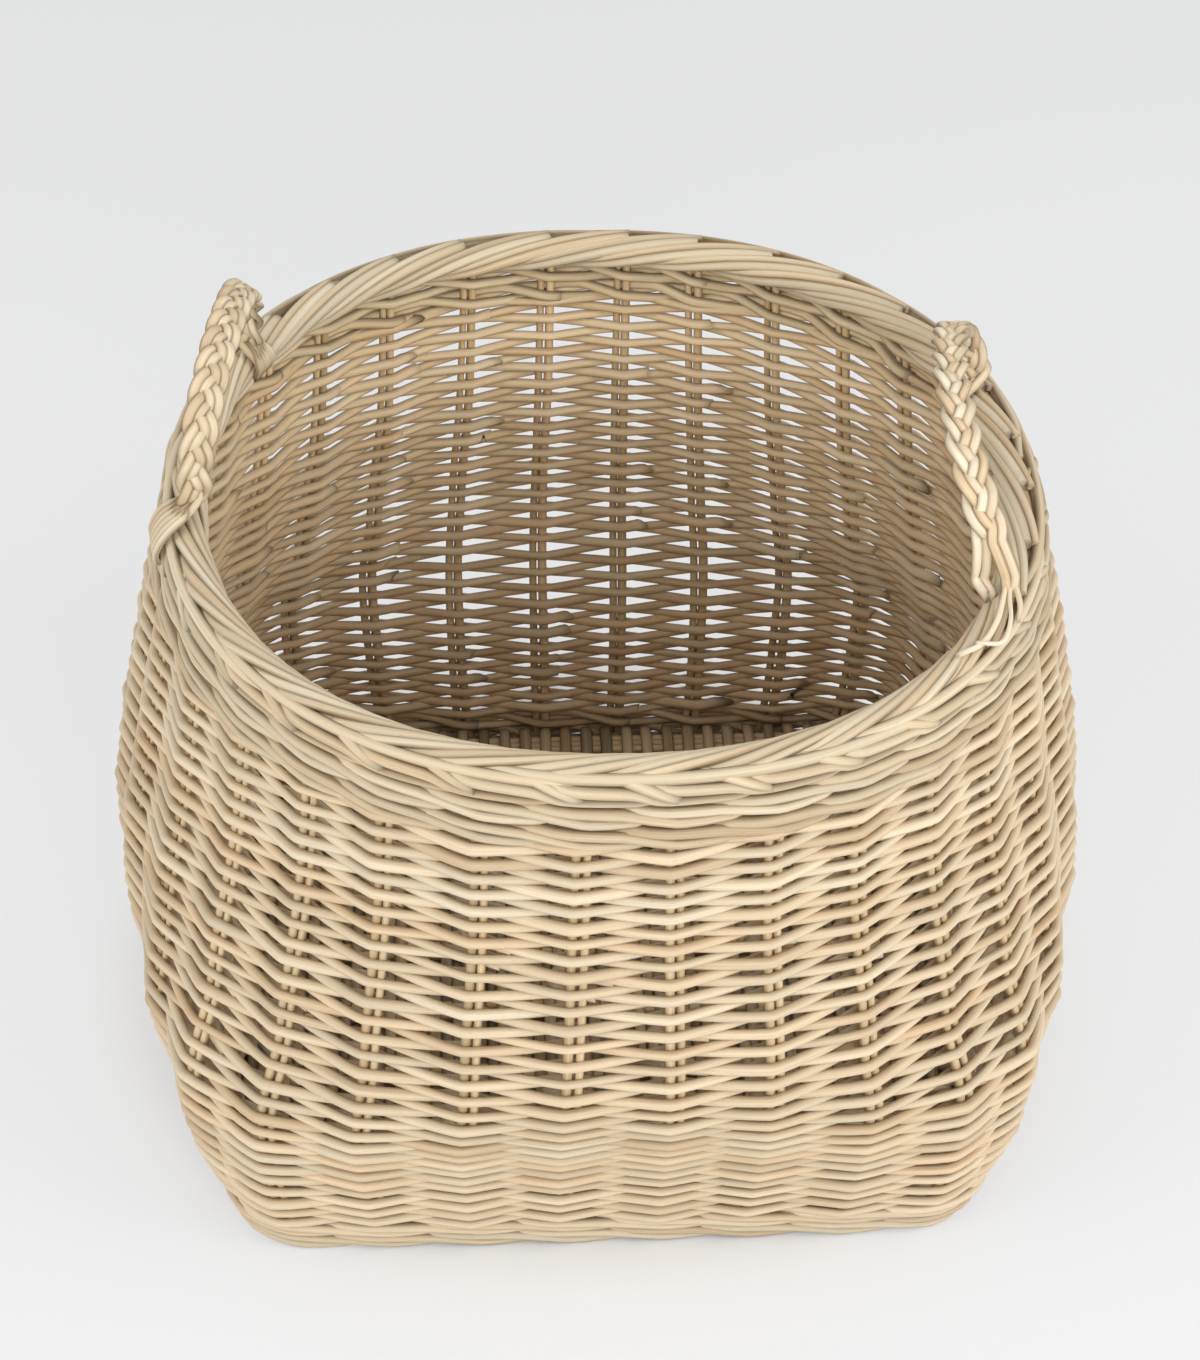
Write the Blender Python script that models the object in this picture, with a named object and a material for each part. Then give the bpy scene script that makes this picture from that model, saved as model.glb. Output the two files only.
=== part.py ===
"""Large willow basket with a square base, a round belly, a rolled border and two plaited handles.

The wall is real weave. Thirty-two pairs of stakes stand on the foot, and every course passes
outside one pair and inside the next. Two weavers chase each other up the wall, so each one
always meets the same pairs on the same side, and a step at the back lifts both by two courses a
round. Thicker courses bind the foot and the rim, four strands roll round each other
as the border, and three strands plait each handle.

Metres, +Z up, the front of the basket towards -Y, the origin on the floor under its middle.
"""
import bisect
import bmesh
import bpy
import math
from mathutils import Vector

# Overall size, measured over the weave
HEIGHT = 0.344
BASE_WIDTH = 0.387
BASE_DEPTH = 0.397
KNEE_WIDTH = 0.450
KNEE_DEPTH = 0.430
BELLY_WIDTH = 0.500
BELLY_DEPTH = 0.488
SHOULDER_WIDTH = 0.471
SHOULDER_DEPTH = 0.463
MOUTH_WIDTH = 0.422
MOUTH_DEPTH = 0.455

# Outline of the wall: an exponent of 2 is an ellipse, and a large one is nearly square
STATION_SHARES = (0.0, 0.20, 0.45, 0.72, 1.0)
STATION_WIDTHS = (BASE_WIDTH, KNEE_WIDTH, BELLY_WIDTH, SHOULDER_WIDTH, MOUTH_WIDTH)
STATION_DEPTHS = (BASE_DEPTH, KNEE_DEPTH, BELLY_DEPTH, SHOULDER_DEPTH, MOUTH_DEPTH)
STATION_EXPONENTS = (12.0, 5.5, 2.2, 2.0, 2.2)
OUTLINE_SAMPLES = 960

# Gap that touching pieces keep
CLEARANCE = 0.0003

# Stakes, each a pair of rods side by side that tapers to its tip, with its foot off the floor
STAKES = 32
STAKE_WIDTH = 0.0100
STAKE_THICKNESS = 0.0048
STAKE_LIFT = CLEARANCE
STAKE_TIP_SHARE = 0.85
STAKE_RING_SHARES = (0.0, 0.13, 0.28, 0.45, 0.63, 0.82, 1.0)

# Side weave
WEAVER_THICKNESS = 0.0047
COURSE_PITCH = 0.0071
START_STAKE = 12
STEP_STAKES = 3
SQUARE_EXPONENT = 2.6

# Foot and top courses
FOOT_ROD_THICKNESS = 0.0055
FOOT_ROD_HEIGHT = 0.0056
FOOT_COURSES = 2
WALE_ROD_THICKNESS = 0.0056
WALE_ROD_HEIGHT = 0.0062
WALE_COURSES = 3

# Border, a rope of strands
BORDER_WIDTH = 0.027
BORDER_STRANDS = 4
BORDER_TWISTS = 5
BORDER_TWIST_POINTS = 10

# Base: sticks across the width, with one weaver running to and fro
BASE_STICKS = 7
STICK_DIAMETER = 0.0070
STICK_SIDES = 6
BASE_WEAVER_THICKNESS = 0.0046
BASE_WEAVER_WIDTH = 0.0065
BASE_COLUMN_PITCH = 0.0160
BASE_WALL_GAP = 0.0010

# Handles, left and right: how long and high each bow is, and how far its middle leans inwards
LEFT_HANDLE_SPAN = 0.144
LEFT_HANDLE_RISE = 0.055
LEFT_HANDLE_LEAN = 0.006
RIGHT_HANDLE_SPAN = 0.172
RIGHT_HANDLE_RISE = 0.056
RIGHT_HANDLE_LEAN = 0.022
HANDLE_SPANS = {"left": LEFT_HANDLE_SPAN, "right": RIGHT_HANDLE_SPAN}
HANDLE_RISES = {"left": LEFT_HANDLE_RISE, "right": RIGHT_HANDLE_RISE}
HANDLE_LEANS = {"left": LEFT_HANDLE_LEAN, "right": RIGHT_HANDLE_LEAN}

# Where each handle's middle is, in degrees from +X towards +Y
HANDLE_ANGLES = {"left": 169.0, "right": -6.0}

# Plait: each strand swings across and through the bow, in shares of its own radius
HANDLE_STRANDS = 3
HANDLE_STRAND_DIAMETER = 0.0057
PLAIT_POINTS = 27
PLAIT_TURNS = 3.5
PLAIT_START_TURN = 1.0 / 12.0
PLAIT_HALF_WIDTH_SHARE = 2.4
PLAIT_HALF_DEPTH_SHARE = 1.9
BOW_POWER = 0.8

# Plait's foot and its tails round the border, in degrees from the outside over the top
FOOT_ANGLE = 100.0
TAIL_PITCH_SHARE = 2.0
TAIL_SLANT = 0.010
TAIL_ANGLES = (-30.0, 0.0, 31.0, 62.0, 86.0)

# Colours and finish
WEAVE_COLOR = (0.56, 0.43, 0.26)
BORDER_COLOR = (0.62, 0.48, 0.30)
STAKE_COLOR = (0.40, 0.28, 0.16)
BASE_COLOR = (0.35, 0.26, 0.16)
HANDLE_COLOR = (0.58, 0.46, 0.30)
ROUGHNESS = 0.75

UP = Vector((0.0, 0.0, 1.0))


def material(name, color):
    """Plain willow in one colour."""
    result = bpy.data.materials.new(name)
    result.use_nodes = True
    shader = result.node_tree.nodes["Principled BSDF"]
    shader.inputs["Base Color"].default_value = (*color, 1.0)
    shader.inputs["Roughness"].default_value = ROUGHNESS
    shader.inputs["Metallic"].default_value = 0.0
    return result


def smooth_slopes(places, values):
    """Slopes of a smooth curve through the values that never overshoots them."""
    steps = [b - a for a, b in zip(places, places[1:])]
    rises = [(b - a) / step for a, b, step in zip(values, values[1:], steps)]
    slopes = [rises[0]]
    for i in range(1, len(rises)):
        before, after = rises[i - 1], rises[i]
        if before * after <= 0.0:
            slopes.append(0.0)
        else:
            near = 2.0 * steps[i] + steps[i - 1]
            far = steps[i] + 2.0 * steps[i - 1]
            slopes.append((near + far) / (near / before + far / after))
    slopes.append(rises[-1])
    return slopes


def smooth_value(places, values, place):
    """The smooth curve's value at one place."""
    slopes = smooth_slopes(places, values)
    i = min(max(bisect.bisect_right(places, place) - 1, 0), len(places) - 2)
    step = places[i + 1] - places[i]
    t = (place - places[i]) / step
    start = (1.0 + 2.0 * t) * (1.0 - t) ** 2 * values[i] + t * (1.0 - t) ** 2 * step * slopes[i]
    end = t * t * (3.0 - 2.0 * t) * values[i + 1] + t * t * (t - 1.0) * step * slopes[i + 1]
    return start + end


def outline(z, inset, rounds):
    """Places and outward normals on the wall's outline at a height, by share of the way round.

    The shares start at +X and run towards +Y, and the outline is drawn in by the inset.
    """
    share = z / HEIGHT
    half_width = smooth_value(STATION_SHARES, STATION_WIDTHS, share) / 2.0 - inset
    half_depth = smooth_value(STATION_SHARES, STATION_DEPTHS, share) / 2.0 - inset
    exponent = smooth_value(STATION_SHARES, STATION_EXPONENTS, share)
    points = []
    for i in range(OUTLINE_SAMPLES):
        turn = 2.0 * math.pi * i / OUTLINE_SAMPLES
        c, s = math.cos(turn), math.sin(turn)
        reach = (abs(c / half_width) ** exponent + abs(s / half_depth) ** exponent) ** (-1.0 / exponent)
        points.append(Vector((reach * c, reach * s, z)))
    lengths = [0.0]
    for a, b in zip(points, points[1:] + points[:1]):
        lengths.append(lengths[-1] + (b - a).length)
    result = []
    for each in rounds:
        length = (each % 1.0) * lengths[-1]
        i = min(bisect.bisect_right(lengths, length) - 1, OUTLINE_SAMPLES - 1)
        a, b = points[i], points[(i + 1) % OUTLINE_SAMPLES]
        point = a.lerp(b, (length - lengths[i]) / (lengths[i + 1] - lengths[i]))
        normal = (b - a).normalized().cross(UP)
        result.append((point, normal))
    return result


# Wall: the stakes' centre lines, and the same lines at the four corners between two stakes
WALL_OUT = STAKE_THICKNESS / 2.0 + CLEARANCE + WEAVER_THICKNESS
STAKE_TOP = HEIGHT - BORDER_WIDTH - CLEARANCE
STAKE_ROUNDS = [(k + 0.5) / STAKES for k in range(STAKES)]
CORNER_ROUNDS = [(k + 0.5) / 4.0 for k in range(4)]
CORNER_BEFORE = [STAKES * (2 * k + 1) // 8 - 1 for k in range(4)]
WALL_HEIGHTS = [share * STAKE_TOP for share in STAKE_RING_SHARES]
WALL_RINGS = [outline(z, WALL_OUT, STAKE_ROUNDS + CORNER_ROUNDS) for z in WALL_HEIGHTS]


def wall_place(line, z):
    """Centre and outward normal of one wall line at a height, straight between its rings."""
    i = min(max(bisect.bisect_right(WALL_HEIGHTS, z) - 1, 0), len(WALL_HEIGHTS) - 2)
    t = (z - WALL_HEIGHTS[i]) / (WALL_HEIGHTS[i + 1] - WALL_HEIGHTS[i])
    low_point, low_normal = WALL_RINGS[i][line]
    high_point, high_normal = WALL_RINGS[i + 1][line]
    return low_point.lerp(high_point, t), low_normal.lerp(high_normal, t).normalized()


def is_square(z):
    """True where the outline still has corners that a course has to follow."""
    return smooth_value(STATION_SHARES, STATION_EXPONENTS, z / HEIGHT) > SQUARE_EXPONENT


def wall_lines(place, z):
    """The wall lines that a course meets from one stake up to, but not with, the next."""
    stake = place % STAKES
    if stake in CORNER_BEFORE and is_square(z):
        return [stake, STAKES + CORNER_BEFORE.index(stake)]
    return [stake]


def seat_off(line, neighbours, z, thickness, height, side):
    """How far from a pair's centre a rod runs on one side of it, to clear its middle and edges.

    The side is 1 outside the wall and -1 inside. The lean is the pair's own, over the rod's height.
    """
    here, normal = wall_place(line, z)
    rise = wall_place(line, z + height / 2.0)[0] - wall_place(line, z - height / 2.0)[0]
    lean = abs(rise.dot(normal)) / 2.0
    plain = STAKE_THICKNESS / 2.0 + CLEARANCE + thickness / 2.0 + lean
    result = plain
    for other in neighbours:
        there, turned = wall_place(other, z)
        if other < STAKES:
            there = there - turned * side * plain
        way = there - here - normal * side * plain
        slope = math.atan2(-side * way.dot(normal), abs(way.dot(UP.cross(normal))))
        edge = (thickness / 2.0 + CLEARANCE) / math.cos(slope) + STAKE_WIDTH / 2.0 * math.tan(slope)
        result = max(result, edge + lean)
    return result


def course_point(line, neighbours, z, thickness, height, outside):
    """A rod's centre where it passes a stake, or where it crosses the wall at a corner."""
    point, normal = wall_place(line, z)
    if line >= STAKES:
        return point
    side = 1.0 if outside else -1.0
    return point + normal * side * seat_off(line, neighbours, z, thickness, height, side)


def course(first, last, height_at, thickness, height, outside_parity):
    """Points of a rod from one stake count to another, outside the stakes of one parity."""
    lines = []
    for place in range(first - 1, last + 2):
        z = height_at(place)
        found = wall_lines(place, z)
        for i, line in enumerate(found):
            lines.append((place, line, z + (height_at(place + 1) - z) * i / len(found)))
    points = []
    for before, here, after in zip(lines, lines[1:], lines[2:]):
        place, line, z = here
        if first <= place <= last and not (place == last and line >= STAKES):
            outside = place % 2 == outside_parity
            points.append(course_point(line, (before[1], after[1]), z, thickness, height, outside))
    return points


def profile(name, corners):
    """A rod's cross-section, as a closed curve that the rods take as their bevel object."""
    curve = bpy.data.curves.new(name, "CURVE")
    curve.dimensions = "2D"
    spline = curve.splines.new("POLY")
    spline.points.add(len(corners) - 1)
    for point, (across, up) in zip(spline.points, corners):
        point.co = (across, up, 0.0, 1.0)
    spline.use_cyclic_u = True
    result = bpy.data.objects.new(name, curve)
    result.hide_render = True
    result.display_type = "WIRE"
    GUIDES.objects.link(result)
    return result


def rod(name, points, finish, section=None, diameter=0.0, closed=False, level=True):
    """A rod along the points, of a given section or round, which stays upright if level."""
    curve = bpy.data.curves.new(name, "CURVE")
    curve.dimensions = "3D"
    curve.twist_mode = "Z_UP" if level else "MINIMUM"
    spline = curve.splines.new("POLY")
    spline.points.add(len(points) - 1)
    for target, point in zip(spline.points, points):
        target.co = (*point, 1.0)
    spline.use_cyclic_u = closed
    if section:
        curve.bevel_mode = "OBJECT"
        curve.bevel_object = section
    else:
        curve.bevel_depth = diameter / 2.0
        curve.bevel_resolution = 0
    curve.use_fill_caps = not closed
    curve.materials.append(finish)
    result = bpy.data.objects.new(name, curve)
    PARTS.objects.link(result)
    return result


def wedge_section(name, thickness, height):
    """Flat on its inner side and ridged on its outer one."""
    inner = -thickness / 2.0
    return profile(name, ((inner, height / 2.0), (-inner, 0.0), (inner, -height / 2.0)))


def square_section(name, thickness, height):
    """Flat above and below, and at both sides."""
    across, up = thickness / 2.0, height / 2.0
    return profile(name, ((-across, up), (across, up), (across, -up), (-across, -up)))


def make_stakes(finish):
    """A tapered pair of rods for each stake, lofted up the wall."""
    for k in range(STAKES):
        mesh = bmesh.new()
        rings = []
        for share, z in zip(STAKE_RING_SHARES, WALL_HEIGHTS):
            point, normal = wall_place(k, z)
            taper = 1.0 + (STAKE_TIP_SHARE - 1.0) * share
            along = UP.cross(normal) * STAKE_WIDTH / 2.0 * taper
            through = normal * STAKE_THICKNESS / 2.0 * taper
            corners = (point + along, point - through, point - along, point + through)
            rings.append([mesh.verts.new(corner + UP * STAKE_LIFT * (1.0 - share)) for corner in corners])
        for low, high in zip(rings, rings[1:]):
            for i in range(len(low)):
                j = (i + 1) % len(low)
                mesh.faces.new((low[i], high[i], high[j], low[j]))
        mesh.faces.new(rings[0])
        mesh.faces.new(rings[-1][::-1])
        bmesh.ops.recalc_face_normals(mesh, faces=mesh.faces)
        name = f"stake_pair_{k + 1:02d}"
        data = bpy.data.meshes.new(name)
        mesh.to_mesh(data)
        mesh.free()
        data.materials.append(finish)
        PARTS.objects.link(bpy.data.objects.new(name, data))


def ring_courses(name, count, bottom, thickness, height, section, finish):
    """Closed courses stacked from a height, each on the other side of the stakes to the last."""
    for i in range(count):
        z = bottom + height / 2.0 + i * (height + CLEARANCE)
        points = course(0, STAKES - 1, lambda place: z, thickness, height, i % 2)
        rod(f"{name}_{i + 1}", points, finish, section=section, closed=True)


def make_side_weave(bottom, top, finish):
    """Two weavers that chase each other up the wall, each in a lower and an upper length."""
    rounds = int((top - bottom) / (2.0 * COURSE_PITCH))
    pitch = (top - bottom) / (2.0 * rounds)
    height = pitch - 2.0 * CLEARANCE
    section = wedge_section("weaver_section", WEAVER_THICKNESS, height)
    split = START_STAKE + rounds // 2 * STAKES
    end = START_STAKE + rounds * STAKES - STEP_STAKES

    for weaver in range(2):

        def height_at(place):
            """A flat round, then a step up of two courses over the last few stakes."""
            done, stake = divmod(place - START_STAKE, STAKES)
            step = max(0.0, (stake - STAKES + STEP_STAKES) / STEP_STAKES)
            return bottom + pitch * (0.5 + weaver + 2.0 * (max(done, 0) + (step if done >= 0 else 0.0)))

        lower = course(START_STAKE, split, height_at, WEAVER_THICKNESS, height, weaver)
        upper = course(split, end, height_at, WEAVER_THICKNESS, height, weaver)
        butt = lower[-2].lerp(lower[-1], 0.5)
        back = (lower[-1] - lower[-2]).normalized() * CLEARANCE / 2.0
        rod(f"weaver_{weaver + 1}_lower", lower[:-1] + [butt - back], finish, section=section)
        rod(f"weaver_{weaver + 1}_upper", [butt + back] + upper, finish, section=section)


def make_border(finish):
    """Strands that roll round each other along the rim."""
    spread = 2.0 * math.sin(math.pi / BORDER_STRANDS) * math.cos(math.pi / BORDER_TWIST_POINTS)
    strand = (spread * BORDER_WIDTH / 2.0 - CLEARANCE) / (2.0 + spread)
    reach = BORDER_WIDTH / 2.0 - strand
    count = BORDER_TWISTS * BORDER_TWIST_POINTS
    centre = outline(HEIGHT - BORDER_WIDTH / 2.0, BORDER_WIDTH / 2.0, [i / count for i in range(count)])
    for s in range(BORDER_STRANDS):
        points = []
        for i, (point, normal) in enumerate(centre):
            turn = 2.0 * math.pi * (i / BORDER_TWIST_POINTS + s / BORDER_STRANDS)
            points.append(point + normal * reach * math.cos(turn) + UP * reach * math.sin(turn))
        rod(f"border_strand_{s + 1}", points, finish, diameter=2.0 * strand, closed=True)


def base_outline(x):
    """Half the depth inside the wall at the base, at a distance from the middle."""
    inset = WALL_OUT * 2.0 + BASE_WALL_GAP
    half_width = BASE_WIDTH / 2.0 - inset
    half_depth = BASE_DEPTH / 2.0 - inset
    share = min(abs(x) / half_width, 1.0)
    exponent = STATION_EXPONENTS[0]
    return half_depth * (1.0 - share ** exponent) ** (1.0 / exponent)


def make_base(stick_height, finish_sticks, finish_weave):
    """Sticks that butt against the wall between two stakes, and their weaver."""
    middle = (BASE_STICKS - 1) / 2.0
    places = []
    for i in range(BASE_STICKS):
        line = (i - int(middle) - 1) % STAKES
        a = wall_place(line, stick_height)[0]
        b = wall_place((line + 1) % STAKES, stick_height)[0]
        end = (a + b) / 2.0
        inset = WEAVER_THICKNESS / 2.0 + STICK_DIAMETER / 4.0 + CLEARANCE
        places.append((end.x - inset, end.y))
    for i, (x, y) in enumerate(places):
        bpy.ops.mesh.primitive_cylinder_add(
            vertices=STICK_SIDES, radius=STICK_DIAMETER / 2.0, depth=2.0 * x,
            location=(0.0, y, stick_height), rotation=(0.0, math.pi / 2.0, 0.0))
        stick = bpy.context.active_object
        stick.name = f"base_stick_{i + 1}"
        stick.data.name = stick.name
        stick.data.materials.append(finish_sticks)
        for collection in stick.users_collection:
            collection.objects.unlink(stick)
        PARTS.objects.link(stick)

    pitch = places[1][1] - places[0][1]
    plain = STICK_DIAMETER / 2.0 + CLEARANCE + BASE_WEAVER_THICKNESS / 2.0
    swing = plain / math.cos(math.atan2(2.0 * plain, pitch))
    reach = BASE_WIDTH / 2.0 - 2.0 * WALL_OUT - BASE_WALL_GAP - BASE_WEAVER_WIDTH
    columns = 2 * int(reach / BASE_COLUMN_PITCH) + 1
    points = []
    for column in range(columns):
        x = (column - (columns - 1) / 2.0) * BASE_COLUMN_PITCH
        going_up = column % 2 == 0
        ends = []
        for neighbour in (x - BASE_COLUMN_PITCH, x + BASE_COLUMN_PITCH):
            edge = max(abs(x), min(abs(neighbour), abs(x) + BASE_COLUMN_PITCH))
            ends.append(base_outline(min(edge, reach)) - BASE_WEAVER_WIDTH / 2.0)
        start, stop = ends if going_up else ends
        path = [Vector((x, -start, stick_height))]
        for i, (_, y) in enumerate(places):
            side = 1.0 if (i + column) % 2 == 0 else -1.0
            path.append(Vector((x, y, stick_height + side * swing)))
        path.append(Vector((x, stop, stick_height)))
        points += path if going_up else path[::-1]
    section = profile("base_weaver_section", (
        (BASE_WEAVER_WIDTH / 2.0, -BASE_WEAVER_THICKNESS / 2.0),
        (-BASE_WEAVER_WIDTH / 2.0, -BASE_WEAVER_THICKNESS / 2.0),
        (0.0, BASE_WEAVER_THICKNESS / 2.0)))
    rod("base_weave", points, finish_weave, section=section)


def make_handle(side, finish):
    """Three strands: each climbs over the border from outside, plaits, and goes back over it."""
    radius = HANDLE_STRAND_DIAMETER / 2.0
    count = OUTLINE_SAMPLES
    rim = outline(HEIGHT - BORDER_WIDTH / 2.0, BORDER_WIDTH / 2.0, [i / count for i in range(count)])
    girth = sum((b[0] - a[0]).length for a, b in zip(rim, rim[1:] + rim[:1]))
    angle = math.radians(HANDLE_ANGLES[side])
    middle = min(range(count), key=lambda i: abs(math.remainder(
        math.atan2(rim[i][0].y, rim[i][0].x) - angle, 2.0 * math.pi)))

    def rim_at(along):
        """Centre and normal of the border, a length along the rim from the handle's middle."""
        return outline(HEIGHT - BORDER_WIDTH / 2.0, BORDER_WIDTH / 2.0, [middle / count + along / girth])[0]

    half_span = HANDLE_SPANS[side] / 2.0
    half_width = PLAIT_HALF_WIDTH_SHARE * radius
    half_depth = PLAIT_HALF_DEPTH_SHARE * radius
    seat = BORDER_WIDTH / 2.0 + CLEARANCE + radius
    foot_turn = math.radians(FOOT_ANGLE)
    feet = []
    for centre, normal in (rim_at(-half_span), rim_at(half_span)):
        feet.append(centre + (normal * math.cos(foot_turn) + UP * math.sin(foot_turn)) * (seat + half_depth))
    along = (feet[1] - feet[0]).normalized()
    outward = along.cross(UP)
    plait = []
    for i in range(PLAIT_POINTS):
        turn = math.pi * (i / (PLAIT_POINTS - 1))
        bow = feet[0].lerp(feet[1], (1.0 - math.cos(turn)) / 2.0)
        bow += UP * HANDLE_RISES[side] * math.sin(turn) ** BOW_POWER
        bow -= outward * HANDLE_LEANS[side] * math.sin(turn)
        plait.append(bow)
    for s in range(HANDLE_STRANDS):
        points = []
        for i, bow in enumerate(plait):
            ahead = plait[min(i + 1, PLAIT_POINTS - 1)] - plait[max(i - 1, 0)]
            across = outward - ahead * outward.dot(ahead) / ahead.length_squared
            across.normalize()
            inward = ahead.cross(across).normalized()
            turns = PLAIT_TURNS * i / (PLAIT_POINTS - 1) + s / HANDLE_STRANDS + PLAIT_START_TURN
            phase = 2.0 * math.pi * turns
            points.append(bow + across * half_width * math.cos(phase) + inward * half_depth * math.sin(2.0 * phase))
        tail_a = handle_tail(rim_at, -half_span, points[0] - plait[0], along, seat)
        tail_b = handle_tail(rim_at, half_span, points[-1] - plait[-1], along, seat)
        points = tail_a + points + tail_b[::-1]
        rod(f"{side}_handle_strand_{s + 1}", points, finish, diameter=HANDLE_STRAND_DIAMETER, level=False)


def handle_tail(rim_at, foot, offset, along, seat):
    """A strand's end, laid slanting over the border from the outside up to the plait's foot."""
    radius = HANDLE_STRAND_DIAMETER / 2.0
    away = math.copysign(1.0, foot)
    order = offset.dot(along) + offset.z
    points = []
    for i, degrees in enumerate(TAIL_ANGLES):
        turn = math.radians(degrees)
        slant = TAIL_SLANT * (1.0 - i / (len(TAIL_ANGLES) - 1))
        centre, normal = rim_at(foot + away * (radius + slant) + order * TAIL_PITCH_SHARE)
        points.append(centre + (normal * math.cos(turn) + UP * math.sin(turn)) * seat)
    return points


for old in list(bpy.data.objects):
    bpy.data.objects.remove(old, do_unlink=True)
PARTS = bpy.data.collections.new("willow_basket")
GUIDES = bpy.data.collections.new("guides")
bpy.context.scene.collection.children.link(PARTS)
bpy.context.scene.collection.children.link(GUIDES)

stake_finish = material("stake_willow", STAKE_COLOR)
weave_finish = material("weave_willow", WEAVE_COLOR)
border_finish = material("border_willow", BORDER_COLOR)
base_finish = material("base_willow", BASE_COLOR)
handle_finish = material("handle_willow", HANDLE_COLOR)

foot_top = FOOT_COURSES * (FOOT_ROD_HEIGHT + CLEARANCE)
wale_bottom = STAKE_TOP - WALE_COURSES * (WALE_ROD_HEIGHT + CLEARANCE)
make_stakes(stake_finish)
ring_courses("foot_rod", FOOT_COURSES, 0.0, FOOT_ROD_THICKNESS, FOOT_ROD_HEIGHT,
             square_section("foot_section", FOOT_ROD_THICKNESS, FOOT_ROD_HEIGHT), border_finish)
make_side_weave(foot_top, wale_bottom, weave_finish)
ring_courses("top_rod", WALE_COURSES, wale_bottom, WALE_ROD_THICKNESS, WALE_ROD_HEIGHT,
             wedge_section("top_section", WALE_ROD_THICKNESS, WALE_ROD_HEIGHT), border_finish)
make_border(border_finish)
make_base(foot_top + STICK_DIAMETER / 2.0, base_finish, base_finish)
for handle_side in HANDLE_ANGLES:
    make_handle(handle_side, handle_finish)
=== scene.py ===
import math

import bpy
import numpy as np
from mathutils import Matrix, Vector


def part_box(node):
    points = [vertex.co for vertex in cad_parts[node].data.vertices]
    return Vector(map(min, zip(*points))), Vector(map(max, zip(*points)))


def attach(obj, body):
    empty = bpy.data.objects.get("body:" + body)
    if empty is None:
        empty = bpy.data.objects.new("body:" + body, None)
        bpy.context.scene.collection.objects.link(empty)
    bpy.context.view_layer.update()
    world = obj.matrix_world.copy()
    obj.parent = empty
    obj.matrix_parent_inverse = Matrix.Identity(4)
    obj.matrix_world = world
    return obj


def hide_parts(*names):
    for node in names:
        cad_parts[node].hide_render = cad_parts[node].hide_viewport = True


# Looks of a large hand-woven willow basket: every rod of the wall, rim, base and handles is a
# tapered tube of its own, laid where the CAD's courses, strands and stakes run. Metres, +Z up,
# the front of the basket towards -Y. Shares of the way round are counted from +X towards +Y,
# and so are places counted in stakes.

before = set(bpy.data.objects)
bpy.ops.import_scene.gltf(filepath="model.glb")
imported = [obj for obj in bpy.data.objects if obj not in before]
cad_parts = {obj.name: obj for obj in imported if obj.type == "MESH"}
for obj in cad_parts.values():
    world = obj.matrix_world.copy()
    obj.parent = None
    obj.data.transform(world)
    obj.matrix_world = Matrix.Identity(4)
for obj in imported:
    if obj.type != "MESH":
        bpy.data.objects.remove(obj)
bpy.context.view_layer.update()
rng = np.random.default_rng(41)

MM = 0.001
UP = np.array((0.0, 0.0, 1.0))
FULL_TURN = 2.0 * math.pi

# Every rod: how its thickness wavers, how far its ends darken, and the scale of its grain
WAVER = 0.035
WAVER_LENGTH = 14.0 * MM
END_FADE = 4.0 * MM
GRAIN_ALONG = 55.0
GRAIN_ROUND = 2.4
GRAIN_SEEDS = 400.0
WARMTH = (1.2, 3.4)
AGE = (1.2, 3.0)

# Wall, the same outline as the CAD's: widths, depths and squareness at shares of its height
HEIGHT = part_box("border_strand_1")[1].z
STATION_SHARES = (0.0, 0.20, 0.45, 0.72, 1.0)
STATION_WIDTHS = (0.387, 0.450, 0.500, 0.471, 0.422)
STATION_DEPTHS = (0.397, 0.430, 0.488, 0.463, 0.455)
STATION_EXPONENTS = (12.0, 5.5, 2.2, 2.0, 2.2)
WALL_OUT = 8.0 * MM
GRID_HEIGHTS = 140
GRID_SHARES = 1280
OUTLINE_TURNS = 1440

# A LOOK is how far a rod's tone may be from its middle, and that middle. Its groove shades are painted
# shade: how much its flanks, and its top and bottom, darken where it lies against other rods.

# Stakes: a thick and a thin rod side by side, from the floor to inside the border
STAKES = 32
STAKE_START = 0.6 * MM
STAKE_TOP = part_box("stake_pair_01")[1].z
STAKE_TUCK = 6.0 * MM
STAKE_STEPS = 44
THICK_STAKE = 5.6 * MM
THIN_STAKE = 4.6 * MM
STAKE_GAP = 0.6 * MM
STAKE_FLATNESS = 0.84
STAKE_TIP_SHARE = 0.85
STAKE_WAVE = (0.35 * MM, 60.0 * MM)
MOST_WANDER = 0.05
MOST_LEAN = 0.09
STAKE_LOOK = (0.16, 0.56)
STAKE_GROOVE_SHADES = (0.7, 0.0)

# Side weave: the step from one course to the next, at shares of the woven height
WEAVE_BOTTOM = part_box("weaver_1_lower")[0].z
WEAVE_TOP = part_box("weaver_2_upper")[1].z
FOOT_TOP = 21.5 * MM
TOP_SLACK = 0.6 * MM
PITCH_SHARES = (0.0, 0.16, 0.34, 0.52, 0.64, 1.0)
PITCHES = (4.2 * MM, 4.42 * MM, 4.9 * MM, 5.05 * MM, 5.0 * MM, 5.1 * MM)

# The courses' slow rise and fall: a tilt towards the front, and waves of several lengths
ROW_TILT = 8.5 * MM
WAVE_SIZE = 1.1 * MM
WAVE_COUNTS = (2, 3, 5, 8, 11)
WAVE_CLIMBS = (1.0, 4.0)

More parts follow.
